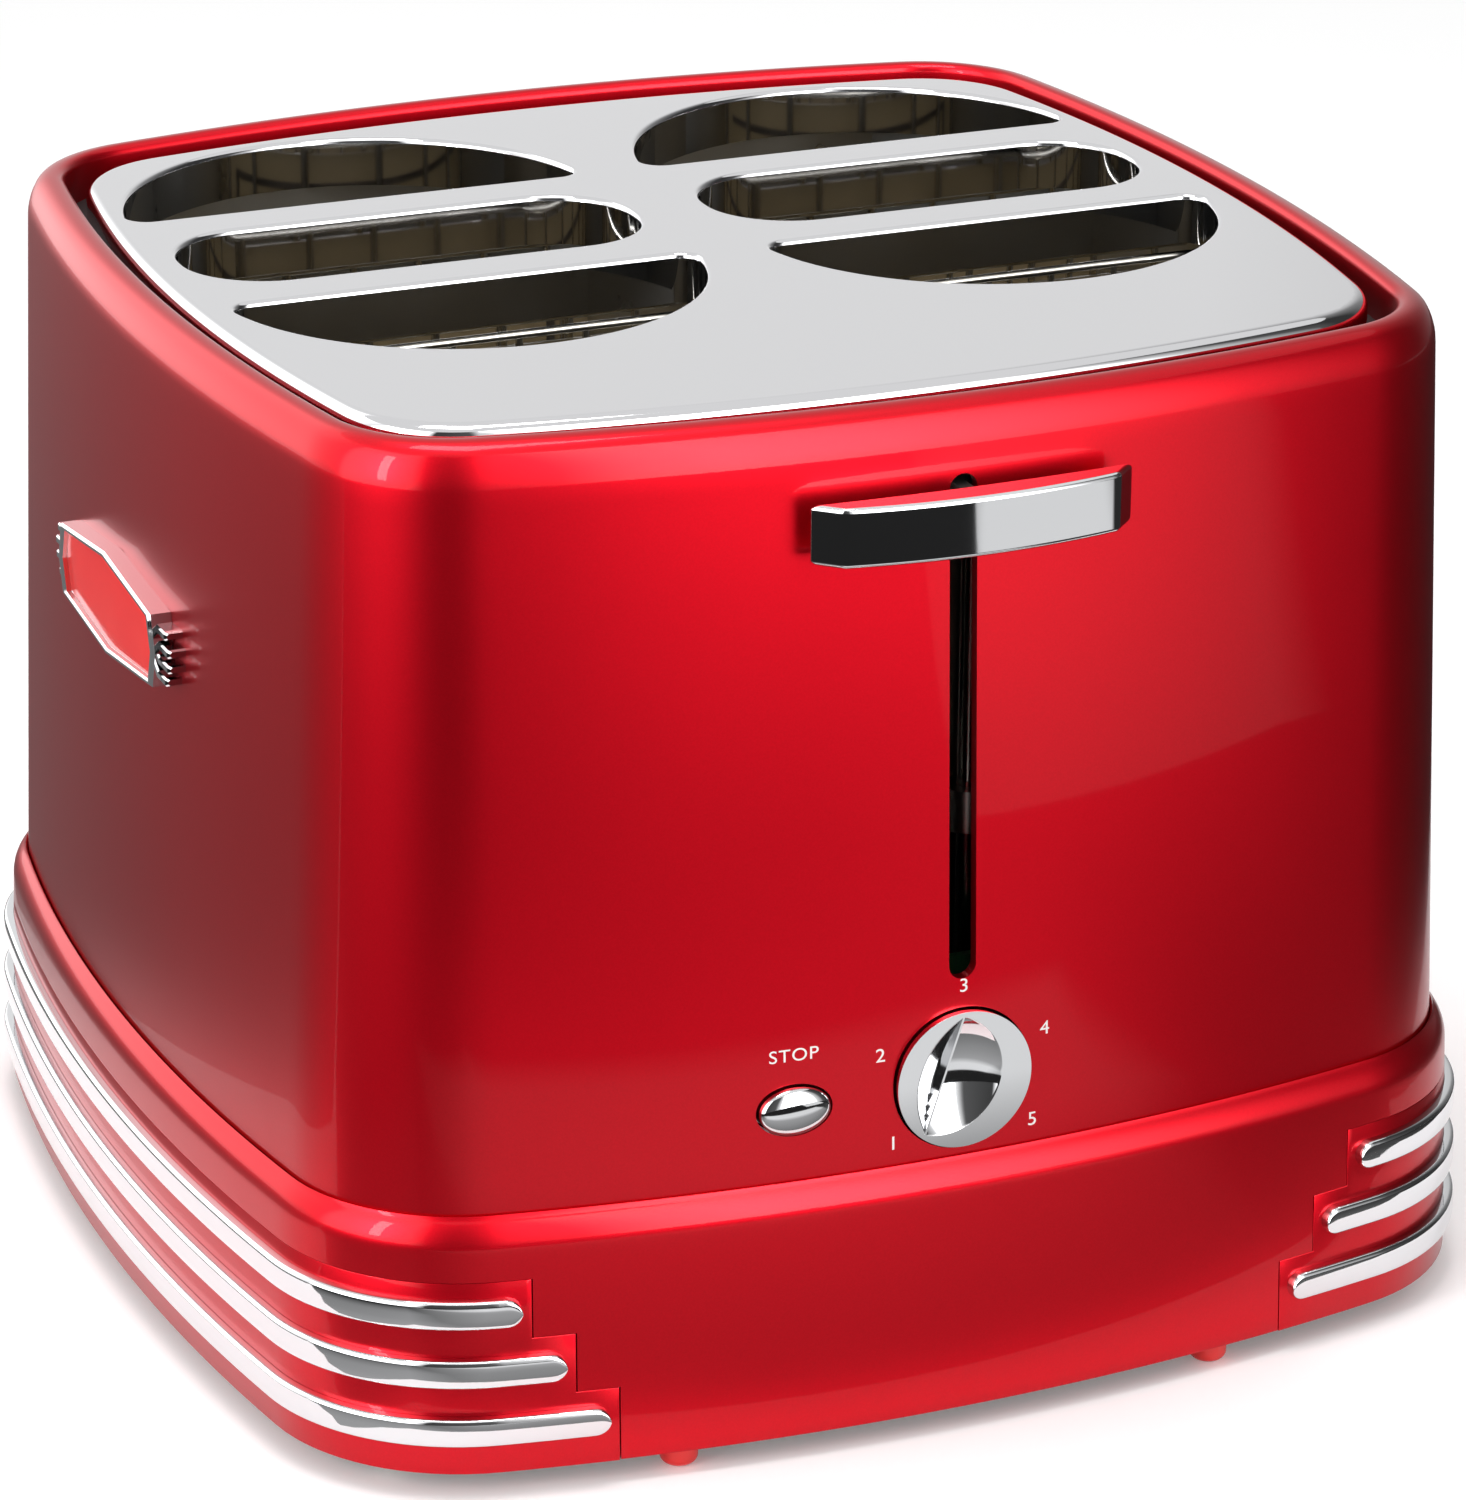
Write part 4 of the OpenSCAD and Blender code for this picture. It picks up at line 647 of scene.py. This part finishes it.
def legend(name, text, x, z, height, stretch=1.1):
    """Text as a thin raised mesh laid on the bowed wall."""
    c = bpy.data.curves.new(name, "FONT")
    c.body, c.size, c.align_x, c.align_y, c.resolution_u = text, 1.0, "CENTER", "CENTER", 6
    c.space_character = letter_gap
    t = bpy.data.objects.new(name, c)
    bpy.context.scene.collection.objects.link(t)
    bpy.context.view_layer.update()
    m = bpy.data.meshes.new_from_object(t.evaluated_get(bpy.context.evaluated_depsgraph_get()))
    bpy.data.objects.remove(t)
    b = bmesh.new()
    b.from_mesh(m)
    co = np.array([v.co for v in b.verts])
    low, high = co.min(axis=0), co.max(axis=0)
    k = height / (high[1] - low[1])
    top = bmesh.ops.extrude_face_region(b, geom=list(b.faces))
    raised = {v for v in top["geom"] if isinstance(v, bmesh.types.BMVert)}
    for v in b.verts:
        px = x + (v.co.x - (low[0] + high[0]) / 2) * k * stretch
        pz = z + (v.co.y - (low[1] + high[1]) / 2) * k
        v.co = Vector((px, front_wall(px, pz, print_out if v in raised else -print_sunk), pz)) * mm
    bmesh.ops.recalc_face_normals(b, faces=b.faces)
    m = bpy.data.meshes.new(name)
    b.to_mesh(m)
    b.free()
    o = bpy.data.objects.new(name, m)
    bpy.context.scene.collection.objects.link(o)
    return dress(o, white_ink, "housing", "red_paint")

dial_r, dial_x, dial_z, numeral_h, word_h, word_z = 17.2, 0.25, knob_z + 0.2, 2.5, 2.35, 76.1
for number, angle in zip("12345", (218, 158, 90, 22, -38)):
    legend("numeral_" + number, number, dial_x + dial_r * cos(radians(angle)),
           dial_z + dial_r * sin(radians(angle)), numeral_h)
legend("stop_word", "STOP", button_x, word_z, word_h)

# ---------------------------------------------------------------------------
# Badge: a plated eight-sided frame on the left wall with a clear red insert,
# left bare, and four fins at each end.
# ---------------------------------------------------------------------------
badge_l, badge_h, badge_out, badge_z, badge_rim, badge_sink = 58.0, 20.0, 3.4, 133.0, 1.3, 1.2
badge_front = body_path["w"] + lean(badge_z) + badge_out

def badge_loop(inset):
    l, h = badge_l / 2 - inset * 1.6, badge_h / 2 - inset
    n, m = l * 0.93, h * 0.69
    return [(-l, 0), (-n, -m), (0, -h), (n, -m), (l, 0), (n, m), (0, h), (-n, m)]

def side_wall(y, z, out):
    return -(sqrt((body_path["side"] + lean(z) + out) ** 2 - y * y) - (body_path["side"] - body_path["w"]))

# Each ring is an inset and a depth from the front; the first two fit the back to the bowed wall.
rings_in = [(1.0, "back"), (0.0, "back"), (0.0, 0.5), (0.45, 0.0), (badge_rim - 0.35, 0.0), (badge_rim, 0.35),
            (badge_rim, badge_sink)]
verts = []
for inset, depth in rings_in:
    for y, z in badge_loop(inset):
        x = side_wall(y, badge_z + z, 0.06) if depth == "back" else -badge_front + depth
        verts.append((x, y, badge_z + z))
badge = mesh_object("badge_rim", verts, capped(len(rings_in), 8))
outward(badge)
smooth(badge, 25)
dress(badge, chrome, "housing", "chrome_trim", "badge_frame")

fin_n, fin_pitch, fin_half, fin_edge = 4, 2.9, 0.8, 0.3
fin_root, fin_out, fin_step = 5.0, 6.0, 1.6
fin_back = side_wall(badge_l / 2 + fin_out, badge_z, -0.05)
verts = []
for y, q, nose in ((0.0, fin_half, 1.2), (0.95, fin_half, 1.2), (1.0, fin_half - 0.25, 1.7)):
    x = nose - badge_front
    verts += [(fin_back, y, -q), (x + fin_edge, y, -q), (x, y, fin_edge - q), (x, y, q - fin_edge),
              (x + fin_edge, y, q), (fin_back, y, q)]
fin = mesh_object("fin", verts, capped(3, 6))

def comb(t, given):
    """A column of fins, shorter the further from its middle, and its mirror at the other end."""
    start = (0, (badge_l / 2 - fin_root) * mm, (badge_z - (fin_n - 1) / 2 * fin_pitch) * mm)
    row = node(t, "GeometryNodeMeshLine", {"Count": fin_n, "Start Location": start,
                                           "Offset": (0, 0, fin_pitch * mm)})
    source = node(t, "GeometryNodeObjectInfo", {}, Object=given["Fin"])
    index = node(t, "GeometryNodeInputIndex")
    off = node(t, "ShaderNodeMath", {"operation": "SUBTRACT", 1: (fin_n - 1) / 2}, _0=index.outputs[0])
    away = node(t, "ShaderNodeMath", {"operation": "ABSOLUTE"}, _0=off.outputs[0])
    less = node(t, "ShaderNodeMath", {"operation": "MULTIPLY"}, _0=away.outputs[0], _1=given["Step"])
    long = node(t, "ShaderNodeMath", {"operation": "SUBTRACT"}, _0=given["Length"], _1=less.outputs[0])
    scale = node(t, "ShaderNodeCombineXYZ", {"X": 1.0, "Z": 1.0}, Y=long.outputs[0])
    fins = node(t, "GeometryNodeInstanceOnPoints", {}, Points=row.outputs[0],
                Instance=source.outputs["Geometry"], Scale=scale.outputs[0])
    other = node(t, "GeometryNodeTransform", {"Scale": (1, -1, 1)}, Geometry=fins.outputs[0])
    both = node(t, "GeometryNodeJoinGeometry")
    for end in (fins, other):
        t.links.new(end.outputs[0], both.inputs[0])
    return realized(t, both.outputs[0], given)
fins = grown("badge_fins", {"Fin": ("NodeSocketObject", fin),
                            "Length": ("NodeSocketFloat", fin_root + fin_out),
                            "Step": ("NodeSocketFloat", fin_step),
                            "Material": ("NodeSocketMaterial", chrome)}, comb)
outward(fins)
smooth(fins, 25)
dress(fins, chrome, "housing", "chrome_trim")

# Clear red plastic: light passes into it and comes back coral, under a wet-looking skin.
def coral(t):
    place = node(t, "ShaderNodeTexCoord")
    depth = node(t, "ShaderNodeTexNoise", {"Scale": 60.0, "Detail": 2.0}, Vector=place.outputs["Object"])
    tint = node(t, "ShaderNodeMix", {"data_type": "RGBA", 6: linear("#E81E22"), 7: linear("#F03A34")},
                _0=depth.outputs[0])
    return node(t, "ShaderNodeBsdfPrincipled",
                {"Roughness": 0.12, "IOR": 1.49, "Subsurface Weight": 0.25, "Subsurface Scale": 0.002,
                 "Subsurface Radius": (1.0, 0.25, 0.2)}, Base_Color=tint.outputs["Result"])
coral_plastic = finish("clear_red_acrylic", coral)
inset = badge_rim + 0.05
loops = [(inset, badge_sink - 0.02), (inset + 1.2, badge_sink - 0.25), (inset + 4.5, badge_sink - 0.42)]
verts = [(-badge_front + depth, y, badge_z + z) for i, depth in [(inset, badge_sink + 0.4)] + loops
         for y, z in badge_loop(i)]
insert = mesh_object("badge_window", verts, capped(len(verts) // 8, 8))
outward(insert)
smooth(insert, 30)
dress(insert, coral_plastic, "housing", "red_insert", "badge_insert")

# ---------------------------------------------------------------------------
# Feet: four short round pegs of the same clear red plastic.
# ---------------------------------------------------------------------------
foot_x, foot_y, foot_r, foot_round = 52.7, 113.5, 3.5, 1.6
prof = np.concatenate([[[0.9, 0.0]], arc((foot_r - foot_round, foot_round), foot_round, -85, 0, 8),
                       [[foot_r, skirt_z]]])
n = 48
ring = np.linspace(0, 2 * pi, n, endpoint=False)
verts = [(r * cos(t), r * sin(t), max(z, 0.0)) for r, z in prof for t in ring]
peg = mesh_object("peg", verts, capped(len(prof), n))

def four(t, given):
    """The peg at the four corners of a grid."""
    grid = node(t, "GeometryNodeMeshGrid", {"Vertices X": 2, "Vertices Y": 2}, Size_X=given["Apart X"],
                Size_Y=given["Apart Y"])
    source = node(t, "GeometryNodeObjectInfo", {}, Object=given["Peg"])
    placed = node(t, "GeometryNodeInstanceOnPoints", {}, Points=grid.outputs[0],
                  Instance=source.outputs["Geometry"])
    return realized(t, placed.outputs[0], given)
pegs = grown("foot_pegs", {"Peg": ("NodeSocketObject", peg), "Apart X": ("NodeSocketFloat", 2 * foot_x * mm),
                           "Apart Y": ("NodeSocketFloat", 2 * foot_y * mm),
                           "Material": ("NodeSocketMaterial", coral_plastic)}, four)
outward(pegs)
smooth(pegs, 50)
dress(pegs, coral_plastic, "housing", "red_insert", "feet")

# ---------------------------------------------------------------------------
# Inner works: the frame's own parts, each in the finish of its stock. Sheets
# are galvanised steel, cards are mica, ribbons are oxidised resistance alloy.
# ---------------------------------------------------------------------------
def plain(shade, metallic, low, high, scale, bump_mm=0.0, **more):
    """A finish of one tint with its roughness and a shallow bump varied at a given scale."""
    def shader(t):
        place = node(t, "ShaderNodeTexCoord")
        noise = node(t, "ShaderNodeTexNoise", {"Scale": scale, "Detail": 4.0}, Vector=place.outputs["Object"])
        rough = node(t, "ShaderNodeMapRange", {"To Min": low, "To Max": high}, Value=noise.outputs[0])
        a, b = linear(shade), [min(1.0, c * 1.18) for c in linear(shade)[:3]] + [1.0]
        tint = node(t, "ShaderNodeMix", {"data_type": "RGBA", 6: a, 7: b}, _0=noise.outputs[0])
        bump = node(t, "ShaderNodeBump", {"Strength": 0.25, "Distance": bump_mm * mm},
                    Height=noise.outputs[0])
        return node(t, "ShaderNodeBsdfPrincipled", {"Metallic": metallic, **more},
                    Base_Color=tint.outputs["Result"], Roughness=rough.outputs[0], Normal=bump.outputs[0])
    return shader
finishes = {
    # Galvanised sheet: bright but soft, with the cloudy spangle of the zinc.
    "galvanised_sheet": (plain("#B9B7B2", 1.0, 0.22, 0.38, 60.0, 0.02),
        ["chassis_front", "chassis_wrap", "aisle_sheet_left", "aisle_sheet_right", "slider", "lever_blade",
         "carriage_frame", "drip_tray"]),
    # Pressed mica: silky buff board, mottled by its flakes.
    "pressed_mica": (plain("#8F7E5E", 0.0, 0.35, 0.55, 120.0, 0.05),
        ["heater_card_front_left", "heater_card_front_right", "heater_card_rear_left",
         "heater_card_rear_right"]),
    # Resistance ribbon: dull grey after its first heat.
    "oxidised_resistance_ribbon": (plain("#6E6862", 1.0, 0.35, 0.5, 300.0, 0.01),
        ["heater_ribbon_front_left", "heater_ribbon_front_right", "heater_ribbon_rear_left",
         "heater_ribbon_rear_right"]),
    # Drawn steel: nickel plated wire and pressings, bright along their length.
    "nickel_plated_steel": (plain("#C6C3BC", 1.0, 0.14, 0.26, 200.0, 0.01),
        ["guard_bun_front", "guard_dog_front", "guard_dog_rear", "guard_bun_rear", "guide_rods",
         "return_spring", "bottom_screws", "board_screws", "knob_shaft", "bun_lifter_front_left",
         "bun_lifter_front_right", "bun_lifter_rear_left", "bun_lifter_rear_right", "dog_cups_left",
         "dog_cups_right"]),
    # Heat-proof black moulding: fine spark-eroded grain, no gloss.
    "black_moulded_resin": (plain("#151515", 0.0, 0.45, 0.6, 700.0, 0.03),
        ["top_collar", "bottom_plate", "cord_gland", "timer_pot", "stop_switch"]),
    # Soft iron: dark grey, lightly oiled.
    "soft_iron": (plain("#5B5C5F", 1.0, 0.3, 0.45, 150.0, 0.02), ["magnet_core", "armature"]),
    # Copper winding under amber enamel.
    "enamelled_copper": (plain("#B4622E", 1.0, 0.2, 0.32, 900.0, 0.03), ["magnet_coil"]),
    # Circuit board: glass laminate under green solder mask.
    "green_laminate": (plain("#1F5B33", 0.0, 0.25, 0.35, 250.0, 0.02), ["circuit_board"]),
    # White acetal: waxy and slightly see-through.
    "white_acetal": (plain("#E6E4DE", 0.0, 0.3, 0.4, 90.0, 0.01), ["switch_plunger"]),
}
for name, (shader, nodes) in finishes.items():
    made = finish(name, shader)
    for n in nodes:
        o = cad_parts[n]
        o.data.materials.clear()
        o.data.materials.append(made)
# The frame's parts under the dressed pieces take the same finishes.
for made, nodes in ((candy_paint, ["body_shell", "base_skirt", "trim_panel_left", "trim_panel_right"]),
                    (chrome, ["lever_handle", "knob", "stop_button", "badge_frame"]
                     + [f"rib_{w}_{l}" for w in ("left", "right") for l in ("lower", "middle", "upper")]),
                    (mirror_steel, ["top_plate"]), (coral_plastic, ["badge_insert", "feet"])):
    for n in nodes:
        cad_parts[n].data.materials.clear()
        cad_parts[n].data.materials.append(made)

# ---------------------------------------------------------------------------
# Studio: a white sweep, soft boxes and the camera of the photograph.
# ---------------------------------------------------------------------------
scene = bpy.context.scene
cam_az, cam_el, cam_roll = radians(-23.018), radians(21.334), radians(0.266)
back = Vector((sin(cam_az) * cos(cam_el), -cos(cam_az) * cos(cam_el), sin(cam_el)))
right = Vector((cos(cam_az), sin(cam_az), 0))
up = back.cross(right)
right, up = right * cos(cam_roll) + up * sin(cam_roll), up * cos(cam_roll) - right * sin(cam_roll)
cam_far, cam_right, cam_down, aim_z = 1123.27, 4.896, 12.351, 100
place = (Vector((0, 0, aim_z)) + cam_far * back + cam_right * right - cam_down * up) * mm
cam = bpy.data.objects.new("camera", bpy.data.cameras.new("camera"))
cam.data.sensor_width, cam.data.lens = 36.0, 140.75
cam.data.clip_start, cam.data.clip_end = 0.05, 20
cam.matrix_world = Matrix.Translation(place) @ Matrix((right, up, back)).transposed().to_4x4()
scene.collection.objects.link(cam)
scene.camera = cam
scene.view_settings.view_transform = "Standard"

floor = mesh_object("floor", [(-6, -6, 0), (6, -6, 0), (6, 6, 0), (-6, 6, 0)], [(0, 1, 2, 3)], 1.0)
def paper(t):
    """White paper, lifted to pure white for the camera and for reflections, with the shadow kept."""
    ray = node(t, "ShaderNodeLightPath")
    shown = node(t, "ShaderNodeMath", {"operation": "MAXIMUM"}, _0=ray.outputs["Is Camera Ray"],
                 _1=ray.outputs["Is Glossy Ray"])
    lift = node(t, "ShaderNodeMath", {"operation": "MULTIPLY", 1: 0.16}, _0=shown.outputs[0])
    glow = node(t, "ShaderNodeEmission", {}, Strength=lift.outputs[0])
    sheet = node(t, "ShaderNodeBsdfDiffuse", {"Color": linear("#F4F4F4")})
    return node(t, "ShaderNodeAddShader", {}, _0=sheet.outputs[0], _1=glow.outputs[0])
floor.data.materials.append(finish("white_paper_sweep", paper))

# Lit and dark paper round the set and on the table, which only reflections see. Each sheet
# carries its own brightness from point to point. Bearings count from the front to the left.
def lit_paper(t):
    shade = node(t, "ShaderNodeAttribute", {"attribute_name": "light"})
    return node(t, "ShaderNodeEmission", {}, Strength=shade.outputs["Fac"])
lit = finish("lit_paper", lit_paper)

def reflector(name, verts, faces, light):
    o = mesh_object(name, verts, faces, 1.0)
    o.data.attributes.new("light", "FLOAT", "POINT").data.foreach_set("value", light)
    o.data.materials.append(lit)
    o.visible_camera = o.visible_diffuse = o.visible_shadow = False
    return o

bearings = [(-180, 1.0), (-148, 0.95), (-122, 0.3), (-92, 0.05), (-70, 0.05), (-52, 0.12), (-40, 0.9),
            (-28, 4.4), (-16, 7.2), (-8, 8.6), (-3, 7.0), (2, 1.2), (9, 0.12), (40, 0.06), (48, 3.0),
            (70, 4.4), (93, 4.0), (98, 1.2), (130, 2.6), (165, 2.4), (175, 1.2), (180, 1.0)]
turns = np.arange(-180, 180, 2)
n_ring = len(turns)
around = np.interp(turns, [a for a, v in bearings], [v for a, v in bearings])
ring_r, ring_h = 1.25, 1.5
surround = reflector("surround", [(-ring_r * sin(radians(a)), -ring_r * cos(radians(a)), z)
                                  for z in (0.0, ring_h) for a in turns], bands(2, n_ring), list(around) * 2)
# Past a margin of white paper round the toaster the table is dark in front, grey at the left.
table = [(-0.30, -0.05, 0.02), (-1.25, 0.06, 0.02), (-1.2, -1.2, 0.02), (-0.02, -1.2, 0.02),
         (0.4, -1.2, 0.02), (0.48, -1.2, 0.9), (0.145, -0.44, 0.9), (0.11, -0.33, 0.02),
         (-0.16, -0.33, 0.02), (-0.28, -0.26, 0.02), (-0.27, -0.048, 0.2), (-1.25, 0.062, 0.2),
         (-1.2, 1.3, 0.2), (0.25, 1.3, 0.2), (-0.16, 0.12, 0.2), (-0.13, -0.10, 0.45),
         (-0.13, -0.135, 0.45), (-0.10, -0.145, 0.3), (0.10, -0.15, 0.15), (0.95, -1.2, 0.9),
         (0.34, -0.385, 0.9), (1.05, -1.2, 0.03), (0.37, -0.365, 0.03), (1.25, 1.2, 0.03),
         (0.45, 1.2, 0.03), (0.24, -0.05, 0.03), (0.19, -0.16, 0.08), (0.145, -0.438, 0.02),
         (0.34, -0.383, 0.02), (-0.09, 0.22, 0.2), (-0.10, -0.22, 0.5), (0.11, -0.22, 0.4),
         (-0.11, -0.25, 1.0), (0.12, -0.25, 0.9), (-0.13, -0.31, 1.0), (0.13, -0.31, 0.9),
         (0.145, -0.325, 0.03), (0.145, -0.23, 0.05)]
card_z = 0.0004
card = reflector("table_cards", [(x, y, card_z) for x, y, v in table],
                 [(0, 1, 2, 9), (9, 2, 3, 8), (8, 3, 4, 7), (7, 4, 5, 6), (10, 14, 29, 13, 12, 11),
                  (0, 9, 16, 15), (9, 30, 17, 16), (9, 32, 30), (9, 34, 32), (9, 8, 34),
                  (17, 30, 31, 18), (30, 32, 33, 31), (32, 34, 35, 33), (34, 8, 7, 35), (35, 7, 36),
                  (33, 35, 36, 37), (31, 33, 37), (18, 31, 37, 26), (6, 5, 19, 20), (20, 19, 21, 22),
                  (22, 21, 23, 24, 25, 26), (7, 27, 28, 22, 36), (36, 22, 26, 37)],
                 [v for x, y, v in table])

world = bpy.data.worlds.new("studio")
scene.world = world
world.use_nodes = True
t = world.node_tree
t.nodes.clear()
path = node(t, "ShaderNodeLightPath")
seen = node(t, "ShaderNodeMath", {"operation": "MAXIMUM"}, _0=path.outputs["Is Camera Ray"],
            _1=path.outputs["Is Glossy Ray"])
room = node(t, "ShaderNodeBackground", {"Color": linear("#FFFFFF"), "Strength": 0.75})
white = node(t, "ShaderNodeBackground", {"Color": linear("#FFFFFF"), "Strength": 1.0})
mix = node(t, "ShaderNodeMixShader", {}, Fac=seen.outputs[0], _1=room.outputs[0], _2=white.outputs[0])
out = node(t, "ShaderNodeOutputWorld")
t.links.new(mix.outputs[0], out.inputs["Surface"])

def softbox(name, at, aim, w, h, power):
    d = bpy.data.lights.new(name, "AREA")
    d.shape, d.size, d.size_y, d.energy = "RECTANGLE", w, h, power
    o = bpy.data.objects.new(name, d)
    o.location = at
    o.rotation_euler = (Vector(aim) - Vector(at)).to_track_quat("-Z", "Y").to_euler()
    scene.collection.objects.link(o)
softbox("overhead", (-0.1, -0.1, 1.15), (0, 0, 0.1), 0.5, 0.35, 6)
softbox("left_strip", (-1.0, -0.45, 0.5), (0, 0, 0.12), 0.12, 0.7, 4)
